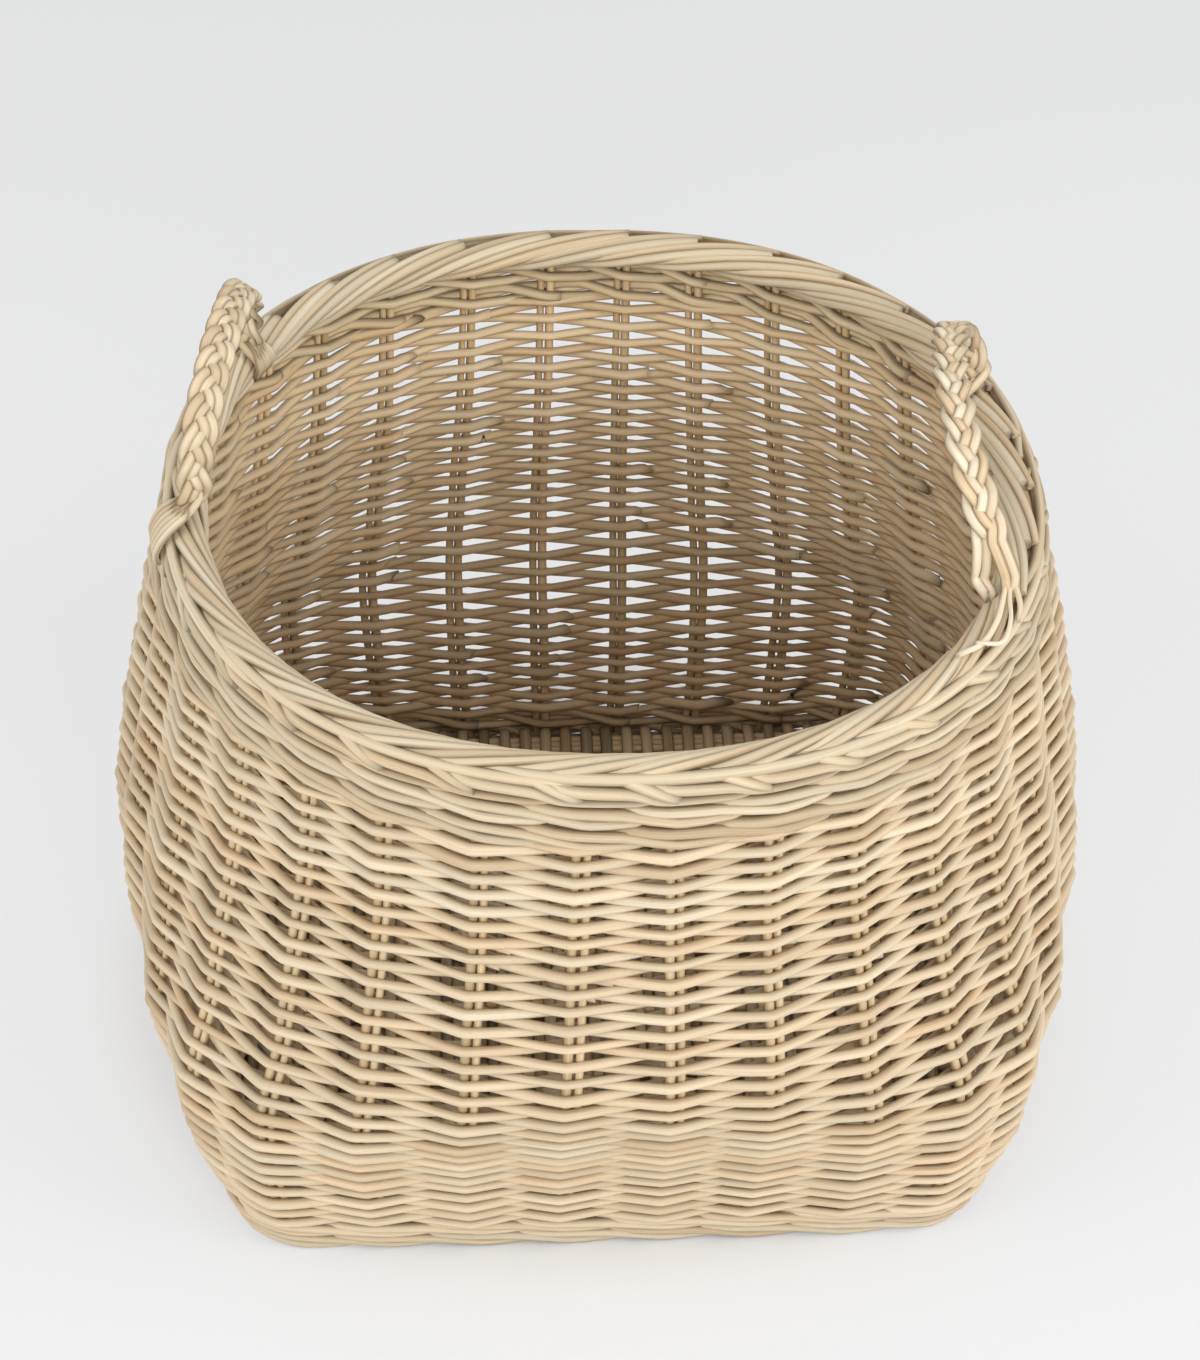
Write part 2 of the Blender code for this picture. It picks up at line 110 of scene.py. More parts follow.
# Rods of the side weave, from butt to tip, with lengths and overlaps counted in stakes
BUTT_DIAMETER = 5.55 * MM
TIP_DIAMETER = 4.5 * MM
BUTT_SPREAD = (0.86, 1.12)
TIP_SPREAD = (0.86, 1.14)
TAPER_POWER = 1.3
BUTT_FLARE = 0.08
FLARE_LENGTH = 0.35
SHORTEST_ROD = 8
LONGEST_ROD = 16
LEAST_REST = 4
BUTT_OVERLAP = (0.14, 0.34)
TIP_OVERLAP = (0.25, 0.5)
BUTT_STRETCH = 0.30
BUTT_TUCK = 0.5 * MM
BUTT_RISE = 1.1 * MM
BUTT_DARKNESS = (0.6, 1.3)
BUTT_CUT = 2.4
TIP_STRETCH = 0.35
TIP_TUCK = 0.4 * MM
TIP_DROP = 1.2 * MM
TIP_DARKNESS = 0.4
WEAVER_FLATNESS = (0.92, 1.02)
WEAVE_LOOK = (0.16, 0.5)
WEAVE_GROOVE_SHADES = (0.0, 0.28)

# Its swing from stake to stake, and its wander up and down, which is greater near the foot
BEND = 0.9985
BEND_SHARES = np.array((0.0, 0.03, 0.08, 0.20, 0.36, 0.50, 0.64, 0.80, 0.92, 0.97))
BEND_SHIFT = 0.055
REACH_SPREAD = (0.96, 1.05)
ROW_WANDER = 0.45 * MM
FOOT_WANDER = 0.7 * MM
WANDER_LENGTH = 0.8
NEAR_FOOT = 45.0 * MM

# Wales: three rods, each outside two stakes and inside a third, so a stroke takes three stakes.
# Levels are quarters of a round's height, and depths 1 outside and -1 inside.
WALE_RODS = 3
WALE_ROD = 6.1 * MM
WALE_ROUNDS = 2
WALE_TOP = 322.0 * MM
WALE_SLANT = 0.45
WALE_SHARES = np.array((0.0, 0.08, 0.25, 0.42, 0.53, 0.57, 0.74, 0.90, 0.94))
WALE_LEVEL_PLACES = (0.0, 0.37, 0.9, 1.45, 2.0, 2.45, 3.0)
WALE_LEVELS = (1.5, 1.1, 0.85, -0.8, -1.1, 0.0, 1.5)
WALE_DEPTH_PLACES = (0.25, 1.60, 2.45, 3.25)
WALE_DEPTHS = (1.0, 1.0, -1.0, 1.0)
WALE_SOFTENING = (-0.06, 0.0, 0.06)
WALE_OUTWARD = 0.55
WALE_STAKE_SHARE = 0.9
WALE_WAVE = (0.3 * MM, 1.5)
WALE_TAPER = 0.12
WALE_SPREAD = (0.94, 1.04)
WALE_STROKES = (3, 6)
WALE_OVERLAPS = (0.2, 0.3)
WALE_LEAST_REST = 5.0
WALE_ENDS = (0.6, 0.3)
WALE_CUTS = (0.4, 0.4)
WALE_LOOK = (0.18, 0.52)
WALE_GROOVE_SHADES = (0.0, 0.8)
FOOT_RISE = 0.2 * MM
FOOT_SHARE = 0.96
LOW_WALE_SHARE = 0.92
LOW_WALE_OVERLAP = 0.6 * MM

# Border, with angles round it in degrees: 0 outside, 90 on top and 180 inside
BORDER_WIDTH = 24.0 * MM
RIM_SIDES = 12
RIM_STEPS = 34
RIM_GROOVE_SHADES = (0.95, 0.0)
RIM_LOOK = (0.12, 0.6)

# Pairs that roll outwards from the inside and end on top, at angles by the place round the rim.
# The ends that reach over the outer edge are tucked in there.
ROLL_THICK = 6.0 * MM
ROLL_THIN = 4.4 * MM
ROLL_SPREAD = (0.90, 1.08)
ROLL_LAG = -25.0
ROLL_TURN = 45.0
ROLL_ROOT = 222.0
ROLL_ROOT_REACH = 0.55
ROLL_PARTS = (0.0, 0.3, 0.7, 1.0)
ROLL_PLACES = (0.0, 20.0, 150.0, 190.0, 265.0, 300.0, 325.0, 360.0)
ROLL_ENDS = (92.0, 96.0, 96.0, 56.0, 44.0, 56.0, 82.0, 92.0)
TUCK_START = 82.0
TUCK_SPAN = 20.0
TUCK_DEPTH = 0.45

# Rods of the outer rim: long ones along the top edge, steps that go down below them, and cut
# stubs between. Each has its places in stakes, angles, and reaches in shares of the border's.
RIM_ROD = 6.2 * MM
LONG_LENGTHS = (2.8, 4.2)
LONG_SPREAD = (0.92, 1.04)
LONG_PLACES = ((0.0, -0.8), (0.0, -0.1), (0.5, 0.0), (1.0, -0.2), (1.0, 0.5))
LONG_ANGLES = (60.0, 47.0, 41.0, 34.0, 20.0)
LONG_REACHES = (0.6, 0.97, 1.03, 1.0, 0.6)
LONG_TIP = 0.88
LONG_STEPS = 44
STEP_SPREAD = (0.92, 1.05)
STEP_PLACES = (-0.42, -0.10, 0.50, 0.90, 1.50, 1.95)
STEP_ANGLES = (38.0, 11.0, 2.0, -34.0, -44.0, -64.0)
STEP_REACHES = (0.72, 1.0, 1.0, 1.0, 0.98, 0.7)
STEP_TIP = 0.9
STEP_LOOK = (0.12, 0.56)
STUB_ROD = 5.2 * MM
STUB_SPREAD = (0.9, 1.15)
STUB_PLACES = (-0.75, -0.50, -0.25, -0.05)
STUB_ANGLES = (60.0, 33.0, 8.0)
STUB_LAST_ANGLES = (-18.0, -8.0)
STUB_REACHES = (0.7, 1.0, 1.12, 1.12)
STUB_STEPS = 16

# Plain rods that fill the middle of the border
CORE_ROD = 6.6 * MM
CORE_REACH = 3.6 * MM
CORE_ANGLES = (30.0, 150.0, 270.0)
CORE_TURN = 40.0
CORE_STEPS = 200
CORE_LOOK = (0.1, 0.3)

# Base: paired sticks across the width, flat weavers that run from front to back over and under
# them, and thin rods along its front and back edges
BASE_STICKS = 7
BASE_ROD = 6.0 * MM
BASE_ROD_SHIFTS = (-3.1 * MM, 3.1 * MM)
BASE_ROD_STEPS = 40
BASE_ROD_WAVE = (0.6 * MM, 0.05)
BASE_ROD_LOOK = (0.15, 0.6)
BASE_GROOVE_SHADES = (0.6, 0.0)
BASE_PITCH = 6.1 * MM
BASE_SWING = 5.0 * MM
BASE_FLATNESS = 0.5
BASE_WEAVER_WIDTHS = (6.2, 7.2)
BASE_WEAVER_STEPS = 110
BASE_WEAVER_WAVE = (0.6 * MM, 0.06)
BASE_WEAVER_ENDS = (0.6, 0.6)
BASE_WEAVER_LOOK = (0.15, 0.4)
BASE_SIDE_INSET = 2.0 * MM
BASE_PAST_EDGE = 1.0 * MM
WALL_ROW_AT_BASE = 6
WALL_CLEARANCE = 3.0 * MM
EDGE_ROD = 4.6 * MM
EDGE_ROD_SHIFTS = (-4.6 * MM, 0.0, 4.6 * MM)
EDGE_ROD_WAVE = (0.5 * MM, 0.05)
EDGE_ROD_INSET = 11.0 * MM

# Ways that a handle's rods go on from the foot of the plait: angles round the border, lengths
# along it past the foot, and heights over their seat, in millimetres. At a foot that dives they
# part, widen and go straight down into the border instead.
TAILS = {
    "over": (
        (98.0, 80.0, 58.0, 34.0, 10.0, -12.0),
        (2.0, 4.0, 6.0, 8.0, 9.5, 10.5),
        (2.2, 0.9, 0.5, 0.3, 0.2, -3.0),
    ),
    "inside": (
        (112.0, 134.0, 158.0, 180.0),
        (0.5, 1.5, 2.5, 3.0),
        (2.0, 1.0, 0.2, -3.0),
    ),
}
TAIL_STEP = 1.2 * MM
TAIL_SPREAD = 4.2 * MM
TAIL_NEAR = 7.0 * MM
DIVE_DEPTHS = np.array((3.0, 6.0, 9.5)) * MM
DIVE_SLANT = 0.35
PARTED_SHARE = 0.085
PARTED_WIDENING = 1.2

# Thin loose ends that lie over the border at such a foot, in the same three measures
LOOSE_ENDS = (
    ((96.0, 78.0, 60.0, 50.0), (-10.0, 2.0, 12.0, 20.0), (1.0, 1.6, 2.6, 2.2)),
    ((98.0, 82.0, 62.0, 52.0, 84.0), (-4.0, 10.0, 24.0, 38.0, 47.0), (1.0, 1.8, 3.2, 3.4, 1.8)),
    ((102.0, 92.0, 80.0, 76.0, 94.0), (-2.0, 12.0, 28.0, 44.0, 58.0), (1.2, 1.0, 0.8, 0.6, 0.2)),
)
LOOSE_ROD = 2.5 * MM
LOOSE_SPREAD = (0.8, 1.1)
LOOSE_STEP = 1.5 * MM
LOOSE_LOOK = (0.14, 0.7)

# Handles, each a plait of three strands of two flat rods: the span between its feet, the bow's
# rise and its lean inwards, its place round the rim and its roll in degrees, and its two feet
HANDLES = {
    "left": {"span": 0.144, "rise": 0.055, "lean": 0.006, "angle": 169.0, "roll": -26.0,
             "feet": ("inside", "over"), "loose": ()},
    "right": {"span": 0.172, "rise": 0.056, "lean": 0.022, "angle": -6.0, "roll": 0.0,
              "feet": ("dive", "inside"), "loose": LOOSE_ENDS},
}
FOOT_ANGLE = 108.0
BOW_STEPS = 260
BOW_FULLNESS = 0.8
PLAIT_STRANDS = 3
PLAIT_TURNS = 4.9
PLAIT_START = 1.0 / 12.0
PLAIT_HALF_WIDTH = 4.3 * MM
PLAIT_HALF_DEPTH = 2.3 * MM
STRAND_ROD = 4.9 * MM
STRAND_SPREAD = (0.9, 1.1)
STRAND_SEAT = 0.6
STRAND_STEP = 1.7 * MM
STRAND_FLATNESS = 0.62
STRAND_SHIFTS = (-2.2 * MM, 2.2 * MM)
STRAND_SIDES = 12
STRAND_ENDS = (0.5, 0.5)
STRAND_CUTS = (0.8, 0.8)
STRAND_LOOK = (0.14, 0.55)
STRAND_GROOVE_SHADES = (0.85, 0.0)

# Willow of each kind of rod: dark, middle and pale, in values from 0 to 255
WILLOWS = {
    "weave_willow": ((191, 170, 139), (215, 197, 167), (228, 213, 186)),
    "stake_willow": ((180, 156, 118), (212, 191, 153), (232, 214, 180)),
    "border_willow": ((178, 158, 127), (205, 188, 158), (226, 213, 186)),
    "handle_willow": ((190, 171, 140), (219, 202, 171), (242, 229, 203)),
    "base_stick_willow": ((176, 144, 102), (226, 196, 150), (244, 222, 182)),
    "base_weaver_willow": ((130, 115, 91), (182, 163, 132), (216, 198, 166)),
}

# Tints that multiply a rod's colour: warm rods, greyed patches, painted shade on the wall's inner side
# low down and painted light on it high up, and painted shade in the grooves between rods. Specks and cut
# ends have a colour of their own.
WARM_TINT = (1.0, 0.86, 0.74)
GREY_TINT = (0.78, 0.82, 0.88)
LOW_INSIDE_SHADE_TINT = (0.69, 0.58, 0.45)
HIGH_INSIDE_LIGHT_TINT = (1.21, 1.17, 1.04)
GROOVE_SHADE_TINT = (0.30, 0.25, 0.19)
SPECK_COLOUR = (0.13, 0.09, 0.05)
CUT_COLOUR = (0.10, 0.088, 0.074)
WARM_SHARE = 0.9
GREY_SHARE = 0.8
CUT_SHARE = 0.85
STREAKS = 0.13
PATCH_TONE = 0.2
SPECK_BUMP = -0.35

# Floor: what bounces onto the basket, what the camera sees, and an even glow away from it
FLOOR_REACH = 4.0
FLOOR_DROP = 0.2 * MM
FLOOR_BOUNCE = (0.80, 0.80, 0.80, 1.0)
FLOOR_SEEN = (0.800, 0.815, 0.832, 1.0)
FLOOR_EVEN = 0.7
GLOW_FRONT, GLOW_BACK = 0.88, 0.80
GLOW_FRONT_PLACE, GLOW_BACK_PLACE = -0.6, 1.2
GLOW_START, GLOW_FULL = 0.20, 0.28

# Light: the room as a light and as it is seen, and each lamp's place, width and watts
ROOM_LIGHT, ROOM_SEEN = 0.62, 0.77
LAMPS = {
    "key": ((0.3, -2.6, 1.2), 2.0, 33.0),
    "right": ((1.7, -0.8, 1.6), 1.4, 20.0),
    "left": ((-1.7, -0.8, 1.6), 1.4, 16.0),
}
LAMP_AIM = Vector((0.0, 0.0, 0.2))

# Camera, from the photograph
IMAGE_HEIGHT = 1360.0
SENSOR = 36.0
FOCAL_PIXELS = 2929.083
CAMERA_DISTANCE = 1.501698
CAMERA_ELEVATION = 39.746
CAMERA_YAW = 3.703
CAMERA_ROLL = 1.218
TARGET_X = 0.504 * MM
TARGET_Z = 208.296 * MM


def unit(vectors):
    """The same directions, of length 1."""
    return vectors / np.linalg.norm(vectors, axis=-1, keepdims=True)


def lengths_along(path):
    """How far along a path each of its points is."""
    return np.concatenate([[0.0], np.cumsum(np.linalg.norm(np.diff(path, axis=0), axis=1))])


def gaps_to(path, others):
    """The distance from each point of a path to each of some other points."""
    return np.linalg.norm(path[:, None] - others[None], axis=2)


def ease(t):
    """From 0 to 1, level at both ends."""
    return t * t * (3.0 - 2.0 * t)


def span_curve(t, size, start, end, start_slope, end_slope):
    """A cubic over one span of a size, through two values with their slopes."""
    first = (1.0 + 2.0 * t) * (1.0 - t) ** 2 * start + t * (1.0 - t) ** 2 * size * start_slope
    return first + (ease(t) * end + t * t * (t - 1.0) * size * end_slope)


def smooth_curve(places, values, at):
    """A smooth curve through the values that never overshoots them, read at many places."""
    places, values = np.array(places), np.array(values)
    steps = np.diff(places)
    rises = np.diff(values) / steps
    slopes = np.concatenate([rises[:1], np.zeros(len(rises) - 1), rises[-1:]])
    for i in range(1, len(rises)):
        before, after = rises[i - 1], rises[i]
        if before * after > 0.0:
            near = 2.0 * steps[i] + steps[i - 1]
            far = steps[i] + 2.0 * steps[i - 1]
            slopes[i] = (near + far) / (near / before + far / after)
    i = np.clip(np.searchsorted(places, at, "right") - 1, 0, len(steps) - 1)
    t = (at - places[i]) / steps[i]
    return span_curve(t, steps[i], values[i], values[i + 1], slopes[i], slopes[i + 1])


def smooth_path(keys, step):
    """A smooth curve through key places, read at even steps."""
    keys = np.asarray(keys, float)
    lengths = lengths_along(keys)
    before = np.vstack([2.0 * keys[0] - keys[1], keys[:-1]])
    after = np.vstack([keys[1:], 2.0 * keys[-1] - keys[-2]])
    spans = np.maximum(np.diff(lengths), 1e-6)
    wide = np.concatenate([[spans[0] * 2.0], spans[1:] + spans[:-1], [spans[-1] * 2.0]])
    slopes = (after - before) / wide[:, None]
    at = np.linspace(0.0, lengths[-1], max(int(lengths[-1] / step), 8))
    i = np.clip(np.searchsorted(lengths, at, "right") - 1, 0, len(keys) - 2)
    size = spans[i][:, None]
    t = ((at - lengths[i]) / spans[i])[:, None]
    return span_curve(t, size, keys[i], keys[i + 1], slopes[i], slopes[i + 1])


def outline(z, inset):
    """Places and outward normals round the wall at one height, at even shares of its length."""
    share = np.clip(z / HEIGHT, 0.0, 1.0)
    half_width = smooth_curve(STATION_SHARES, STATION_WIDTHS, share) / 2.0 - inset
    half_depth = smooth_curve(STATION_SHARES, STATION_DEPTHS, share) / 2.0 - inset
    exponent = smooth_curve(STATION_SHARES, STATION_EXPONENTS, share)
    turns = np.linspace(0.0, FULL_TURN, OUTLINE_TURNS + 1)
    c, s = np.cos(turns), np.sin(turns)
    total = np.abs(c / half_width) ** exponent + np.abs(s / half_depth) ** exponent
    reach = total ** (-1.0 / exponent)
    x, y = reach * c, reach * s
    lengths = np.concatenate([[0.0], np.cumsum(np.hypot(np.diff(x), np.diff(y)))])
    wanted = np.linspace(0.0, lengths[-1], GRID_SHARES + 1)
    x, y = np.interp(wanted, lengths, x), np.interp(wanted, lengths, y)
    step_x = np.roll(x[:-1], -1) - np.roll(x[:-1], 1)
    step_y = np.roll(y[:-1], -1) - np.roll(y[:-1], 1)
    size = np.hypot(step_x, step_y)
    places = np.stack([x[:-1], y[:-1], np.full(GRID_SHARES, z)], axis=1)
    normals = np.stack([step_y / size, -step_x / size, np.zeros(GRID_SHARES)], axis=1)
    return places, normals


def grid_places(shares):
    """The grid lines before and after each share of the way round, and how far on it is."""
    at = np.asarray(shares, float) % 1.0 * GRID_SHARES
    i = at.astype(int) % GRID_SHARES
    return i, (i + 1) % GRID_SHARES, (at - np.floor(at))[:, None]


WALL_RINGS = [outline(z, WALL_OUT) for z in np.linspace(0.0, HEIGHT, GRID_HEIGHTS)]
WALL_PLACES = np.stack([ring[0] for ring in WALL_RINGS])
WALL_NORMALS = np.stack([ring[1] for ring in WALL_RINGS])
RIM_PLACES, RIM_NORMALS = outline(HEIGHT - BORDER_WIDTH / 2.0, BORDER_WIDTH / 2.0)


def wall_at(shares, z):
    """Places and normals on the stakes' middle surface, at shares of the way round and heights."""
    i, j, t = grid_places(shares)
    z = np.broadcast_to(np.asarray(z, float), i.shape)
    rows = np.clip(z / HEIGHT, 0.0, 1.0) * (GRID_HEIGHTS - 1)
    low = np.minimum(rows.astype(int), GRID_HEIGHTS - 2)
    v = (rows - low)[:, None]

    def read(grid):
        a = grid[low, i] * (1.0 - t) + grid[low, j] * t
        b = grid[low + 1, i] * (1.0 - t) + grid[low + 1, j] * t
        return a * (1.0 - v) + b * v

    place, normal = read(WALL_PLACES), read(WALL_NORMALS)
    place[:, 2] = z
    return place, unit(normal)


def rim_at(u, degrees, reach):
    """A place round the border's core: stakes along it, an angle round it and a reach."""
    u = np.asarray(u, float)
    i, j, t = grid_places((u + 0.5) / STAKES)
    normal = unit(RIM_NORMALS[i] * (1.0 - t) + RIM_NORMALS[j] * t)
    place = RIM_PLACES[i] * (1.0 - t) + RIM_PLACES[j] * t
    turn = np.radians(np.broadcast_to(degrees, u.shape))[:, None]
    reach = np.broadcast_to(reach, u.shape)[:, None]
    direction = normal * np.cos(turn) + UP * np.sin(turn)
    return place + direction * reach, direction


# Small wander of each stake, in stake spacings: its place, and how it leans up the wall
STAKE_WANDER = rng.uniform(-MOST_WANDER, MOST_WANDER, STAKES)
STAKE_LEAN = rng.uniform(-MOST_LEAN, MOST_LEAN, STAKES)

# Waves of the courses: how many there are round the wall, their phase, and how they climb
WAVES = [(count, rng.uniform(0.0, FULL_TURN), rng.uniform(*WAVE_CLIMBS)) for count in WAVE_COUNTS]


def stake_share(u, z):
    """Share of the way round of a place counted in stakes, with the stakes' wander."""
    u = np.asarray(u, float)
    i = np.floor(u).astype(int)
    t = ease(u - i)
    here = STAKE_WANDER[i % STAKES] + STAKE_LEAN[i % STAKES] * (z / HEIGHT)
    there = STAKE_WANDER[(i + 1) % STAKES] + STAKE_LEAN[(i + 1) % STAKES] * (z / HEIGHT)
    return (u + 0.5 + here * (1.0 - t) + there * t) / STAKES


def soft_noise(at, size, cell):
    """Smooth random wander along a line, of a size, with one random value a cell."""
    start = math.floor(np.min(at) / cell) - 1
    count = math.ceil(np.max(at) / cell) + 3 - start
    values = rng.uniform(-1.0, 1.0, count)
    places = np.asarray(at) / cell - start
    i = places.astype(int)
    t = ease(places - i)
    return size * (values[i] * (1.0 - t) + values[i + 1] * t)


def random_look(spread, middle):
    """A rod's own tone, warmth and greyness, from its LOOK."""
    tone = float(np.clip(rng.normal(middle, spread), 0.0, 1.0))
    return {"tone": tone, "warm": float(rng.beta(*WARMTH)), "age": float(rng.beta(*AGE))}


def rod_ups(path, tangent, facing):
    """Directions square to a path that turn as it does, or that keep to a facing."""
    if facing is not None:
        ups = np.broadcast_to(facing, path.shape)
        return unit(ups - tangent * np.sum(ups * tangent, axis=1)[:, None])
    ups = np.empty_like(path)
    last = np.cross(tangent[0], (0.31, 0.52, 0.79))
    for i, ahead in enumerate(tangent):
        last = unit(last - ahead * last.dot(ahead))
        ups[i] = last
    return ups


class Rods:
    """The rods of one piece, gathered as rings of points before they become one mesh."""

    def __init__(self):
        self.points, self.quads, self.fans = [], [], []
        self.grain, self.look, self.end, self.painted_shading = [], [], [], []
        self.count = 0

    def add(self, path, diameter, facing=None, outward=None, tone=0.5, warm=0.3, age=0.2,
            sides=8, flat=1.0, ends=(0.0, 0.0), cuts=(0.0, 0.0), grooves=(0.0, 0.0)):
        """One rod along a path. Its flat side has the facing, and outward is away from the basket's
        room; it sets the painted shade low and the painted light high on the rod's inner side. Ends
        darken by 0 to 1, cuts slant them in shares of the radius, and groove shades are painted shade on
        its flanks and on its top and bottom."""
        path = np.asarray(path, float)
        n = len(path)
        along = lengths_along(path)
        radius = np.broadcast_to(np.asarray(diameter, float) / 2.0, n)
        radius = radius * (1.0 + soft_noise(along, WAVER, WAVER_LENGTH))
        tangent = unit(np.gradient(path, axis=0))
        ups = rod_ups(path, tangent, facing)
        across = np.cross(tangent, ups)
        angles = FULL_TURN * np.arange(sides) / sides
        c, s = np.cos(angles), np.sin(angles)
        offsets = across[:, None] * c[None, :, None] + ups[:, None] * (s * flat)[None, :, None]
        rings = path[:, None] + offsets * radius[:, None, None]
        rings[0] -= tangent[0] * (cuts[0] * radius[0] * c)[:, None]
        rings[-1] += tangent[-1] * (cuts[1] * radius[-1] * c)[:, None]
        points = np.concatenate([rings.reshape(-1, 3), rings[[0, -1]].mean(axis=1)])
        self.add_faces(n, sides)

        seed = rng.uniform(0.0, GRAIN_SEEDS)
        lengthwise = along * GRAIN_ALONG + seed
        grain = np.broadcast_arrays(lengthwise[:, None], c[None] * GRAIN_ROUND, s[None] * GRAIN_ROUND)
        middles = [[seed, 0.0, 0.0], [lengthwise[-1], 0.0, 0.0]]
        self.grain.append(np.concatenate([np.stack(grain, axis=-1).reshape(-1, 3), middles]))
        # Painted shade low on the wall's inner side and painted light high on it: how far each point
        # faces into the basket, split by height below
        inward = np.zeros(len(points))
        if outward is not None:
            facing_in = -np.einsum("ijk,ik->ij", offsets, outward)
            inward[:n * sides] = np.clip(facing_in, 0.0, 1.0).ravel()
            inward[n * sides:] = 0.5
        high = np.clip(points[:, 2] / HEIGHT, 0.0, 1.0)
        # Painted shade in the grooves: the flanks and the top and bottom darken by the rod's groove
        # shades
        groove_shade = np.tile(grooves[0] * c ** 4 + grooves[1] * s ** 4, n)
        groove_shade = np.concatenate([groove_shade, [0.0, 0.0]])
        self.painted_shading.append(np.stack([inward * (1.0 - high), inward * high, groove_shade], axis=1))
        end = ends[0] * np.exp(-along / END_FADE) + ends[1] * np.exp(-(along[-1] - along) / END_FADE)
        self.end.append(np.concatenate([np.repeat(end, sides), ends]))
        self.look.append(np.broadcast_to((tone, warm, age), (len(points), 3)))
        self.points.append(points)
        self.count += len(points)

    def add_faces(self, n, sides):
        """Faces of the next rod, whose rings of points come first and then its ends' middles."""
        i, j = np.meshgrid(np.arange(n - 1), np.arange(sides), indexing="ij")
        k = (j + 1) % sides
        after = (i + 1) * sides
        quads = np.stack([i * sides + j, after + j, after + k, i * sides + k], axis=-1)
        self.quads.append(quads.reshape(-1, 4) + self.count)
        j = np.arange(sides)
        k = (j + 1) % sides
        last_ring = (n - 1) * sides
        start = np.stack([j, k, np.full(sides, n * sides)], axis=1)
        stop = np.stack([last_ring + k, last_ring + j, np.full(sides, n * sides + 1)], axis=1)
        self.fans.append(np.concatenate([start, stop]) + self.count)

    def finish(self, name, material, replaces):
        """The rods as one object that rides on the basket and stands for CAD nodes."""
        points = np.concatenate(self.points)
        quads, fans = np.concatenate(self.quads), np.concatenate(self.fans)
        mesh = bpy.data.meshes.new(name)
        mesh.vertices.add(len(points))
        mesh.vertices.foreach_set("co", points.ravel())
        corners = np.concatenate([quads.ravel(), fans.ravel()])
        mesh.loops.add(len(corners))
        mesh.loops.foreach_set("vertex_index", corners.astype(np.int32))
        starts = np.concatenate([np.arange(len(quads)) * 4, quads.size + np.arange(len(fans)) * 3])
        mesh.polygons.add(len(starts))
        mesh.polygons.foreach_set("loop_start", starts.astype(np.int32))
        smooth = np.concatenate([np.ones(len(quads), bool), np.zeros(len(fans), bool)])
        mesh.polygons.foreach_set("use_smooth", smooth)
        mesh.update(calc_edges=True)
        for attribute, rows in (("grain", self.grain), ("look", self.look), ("painted_shading", self.painted_shading)):
            data = mesh.attributes.new(attribute, "FLOAT_VECTOR", "POINT").data
            data.foreach_set("vector", np.concatenate(rows).astype(np.float32).ravel())
        data = mesh.attributes.new("end", "FLOAT", "POINT").data
        data.foreach_set("value", np.concatenate(self.end).astype(np.float32))
        mesh.validate()
        mesh.materials.append(material)
        piece = bpy.data.objects.new(name, mesh)
        bpy.context.scene.collection.objects.link(piece)
        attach(piece, "root")
        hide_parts(*replaces)


class Nodes:
    """Short calls that add and join the nodes of one material."""

    def __init__(self, tree):
        self.tree = tree

    def add(self, kind, inputs=None, **settings):
        node = self.tree.nodes.new(kind)
        for key, value in settings.items():
            setattr(node, key, value)
        for key, value in (inputs or {}).items():
            if isinstance(value, bpy.types.NodeSocket):
                self.tree.links.new(value, node.inputs[key])
            else:
                node.inputs[key].default_value = value
        return node

    def attribute(self, name, output="Vector"):
        return self.add("ShaderNodeAttribute", attribute_name=name).outputs[output]

    def parts(self, vector):
        return self.add("ShaderNodeSeparateXYZ", {0: vector}).outputs

    def scaled(self, vector, scale):
        return self.add("ShaderNodeVectorMath", {0: vector, 1: scale}, operation="MULTIPLY").outputs[0]

    def math(self, operation, a, b=0.0, clamp=False):
        return self.add("ShaderNodeMath", {0: a, 1: b}, operation=operation, use_clamp=clamp).outputs[0]

    def range(self, value, low, high, to_low, to_high):
        inputs = {"Value": value, "From Min": low, "From Max": high, "To Min": to_low, "To Max": to_high}
        return self.add("ShaderNodeMapRange", inputs).outputs["Result"]

    def mix(self, factor, a, b, blend="MIX"):
        inputs = {0: factor, 6: a, 7: b}
        return self.add("ShaderNodeMix", inputs, data_type="RGBA", blend_type=blend).outputs[2]

    def tint(self, factor, colour, tint):
        return self.mix(factor, colour, self.mix(1.0, colour, (*tint, 1.0), "MULTIPLY"))

    def ramp(self, factor, stops):
        node = self.add("ShaderNodeValToRGB", {"Fac": factor})
        elements = node.color_ramp.elements
        while len(elements) < len(stops):
            elements.new(0.5)
        for element, (place, colour) in zip(elements, stops):
            element.position = place
            element.color = (*colour, 1.0)
        return node.outputs["Color"]

    def seen_rays(self):
        """1 for rays that see the background, straight or by gloss or glass, and 0 for light."""
        rays = self.add("ShaderNodeLightPath").outputs
        gloss = self.math("MAXIMUM", rays["Is Glossy Ray"], rays["Is Transmission Ray"])
        return self.math("MAXIMUM", rays["Is Camera Ray"], gloss)


def srgb(values):
    """A colour seen as 0 to 255 values, in the linear values that shaders take."""
    return tuple(((v / 255.0 + 0.055) / 1.055) ** 2.4 for v in values)


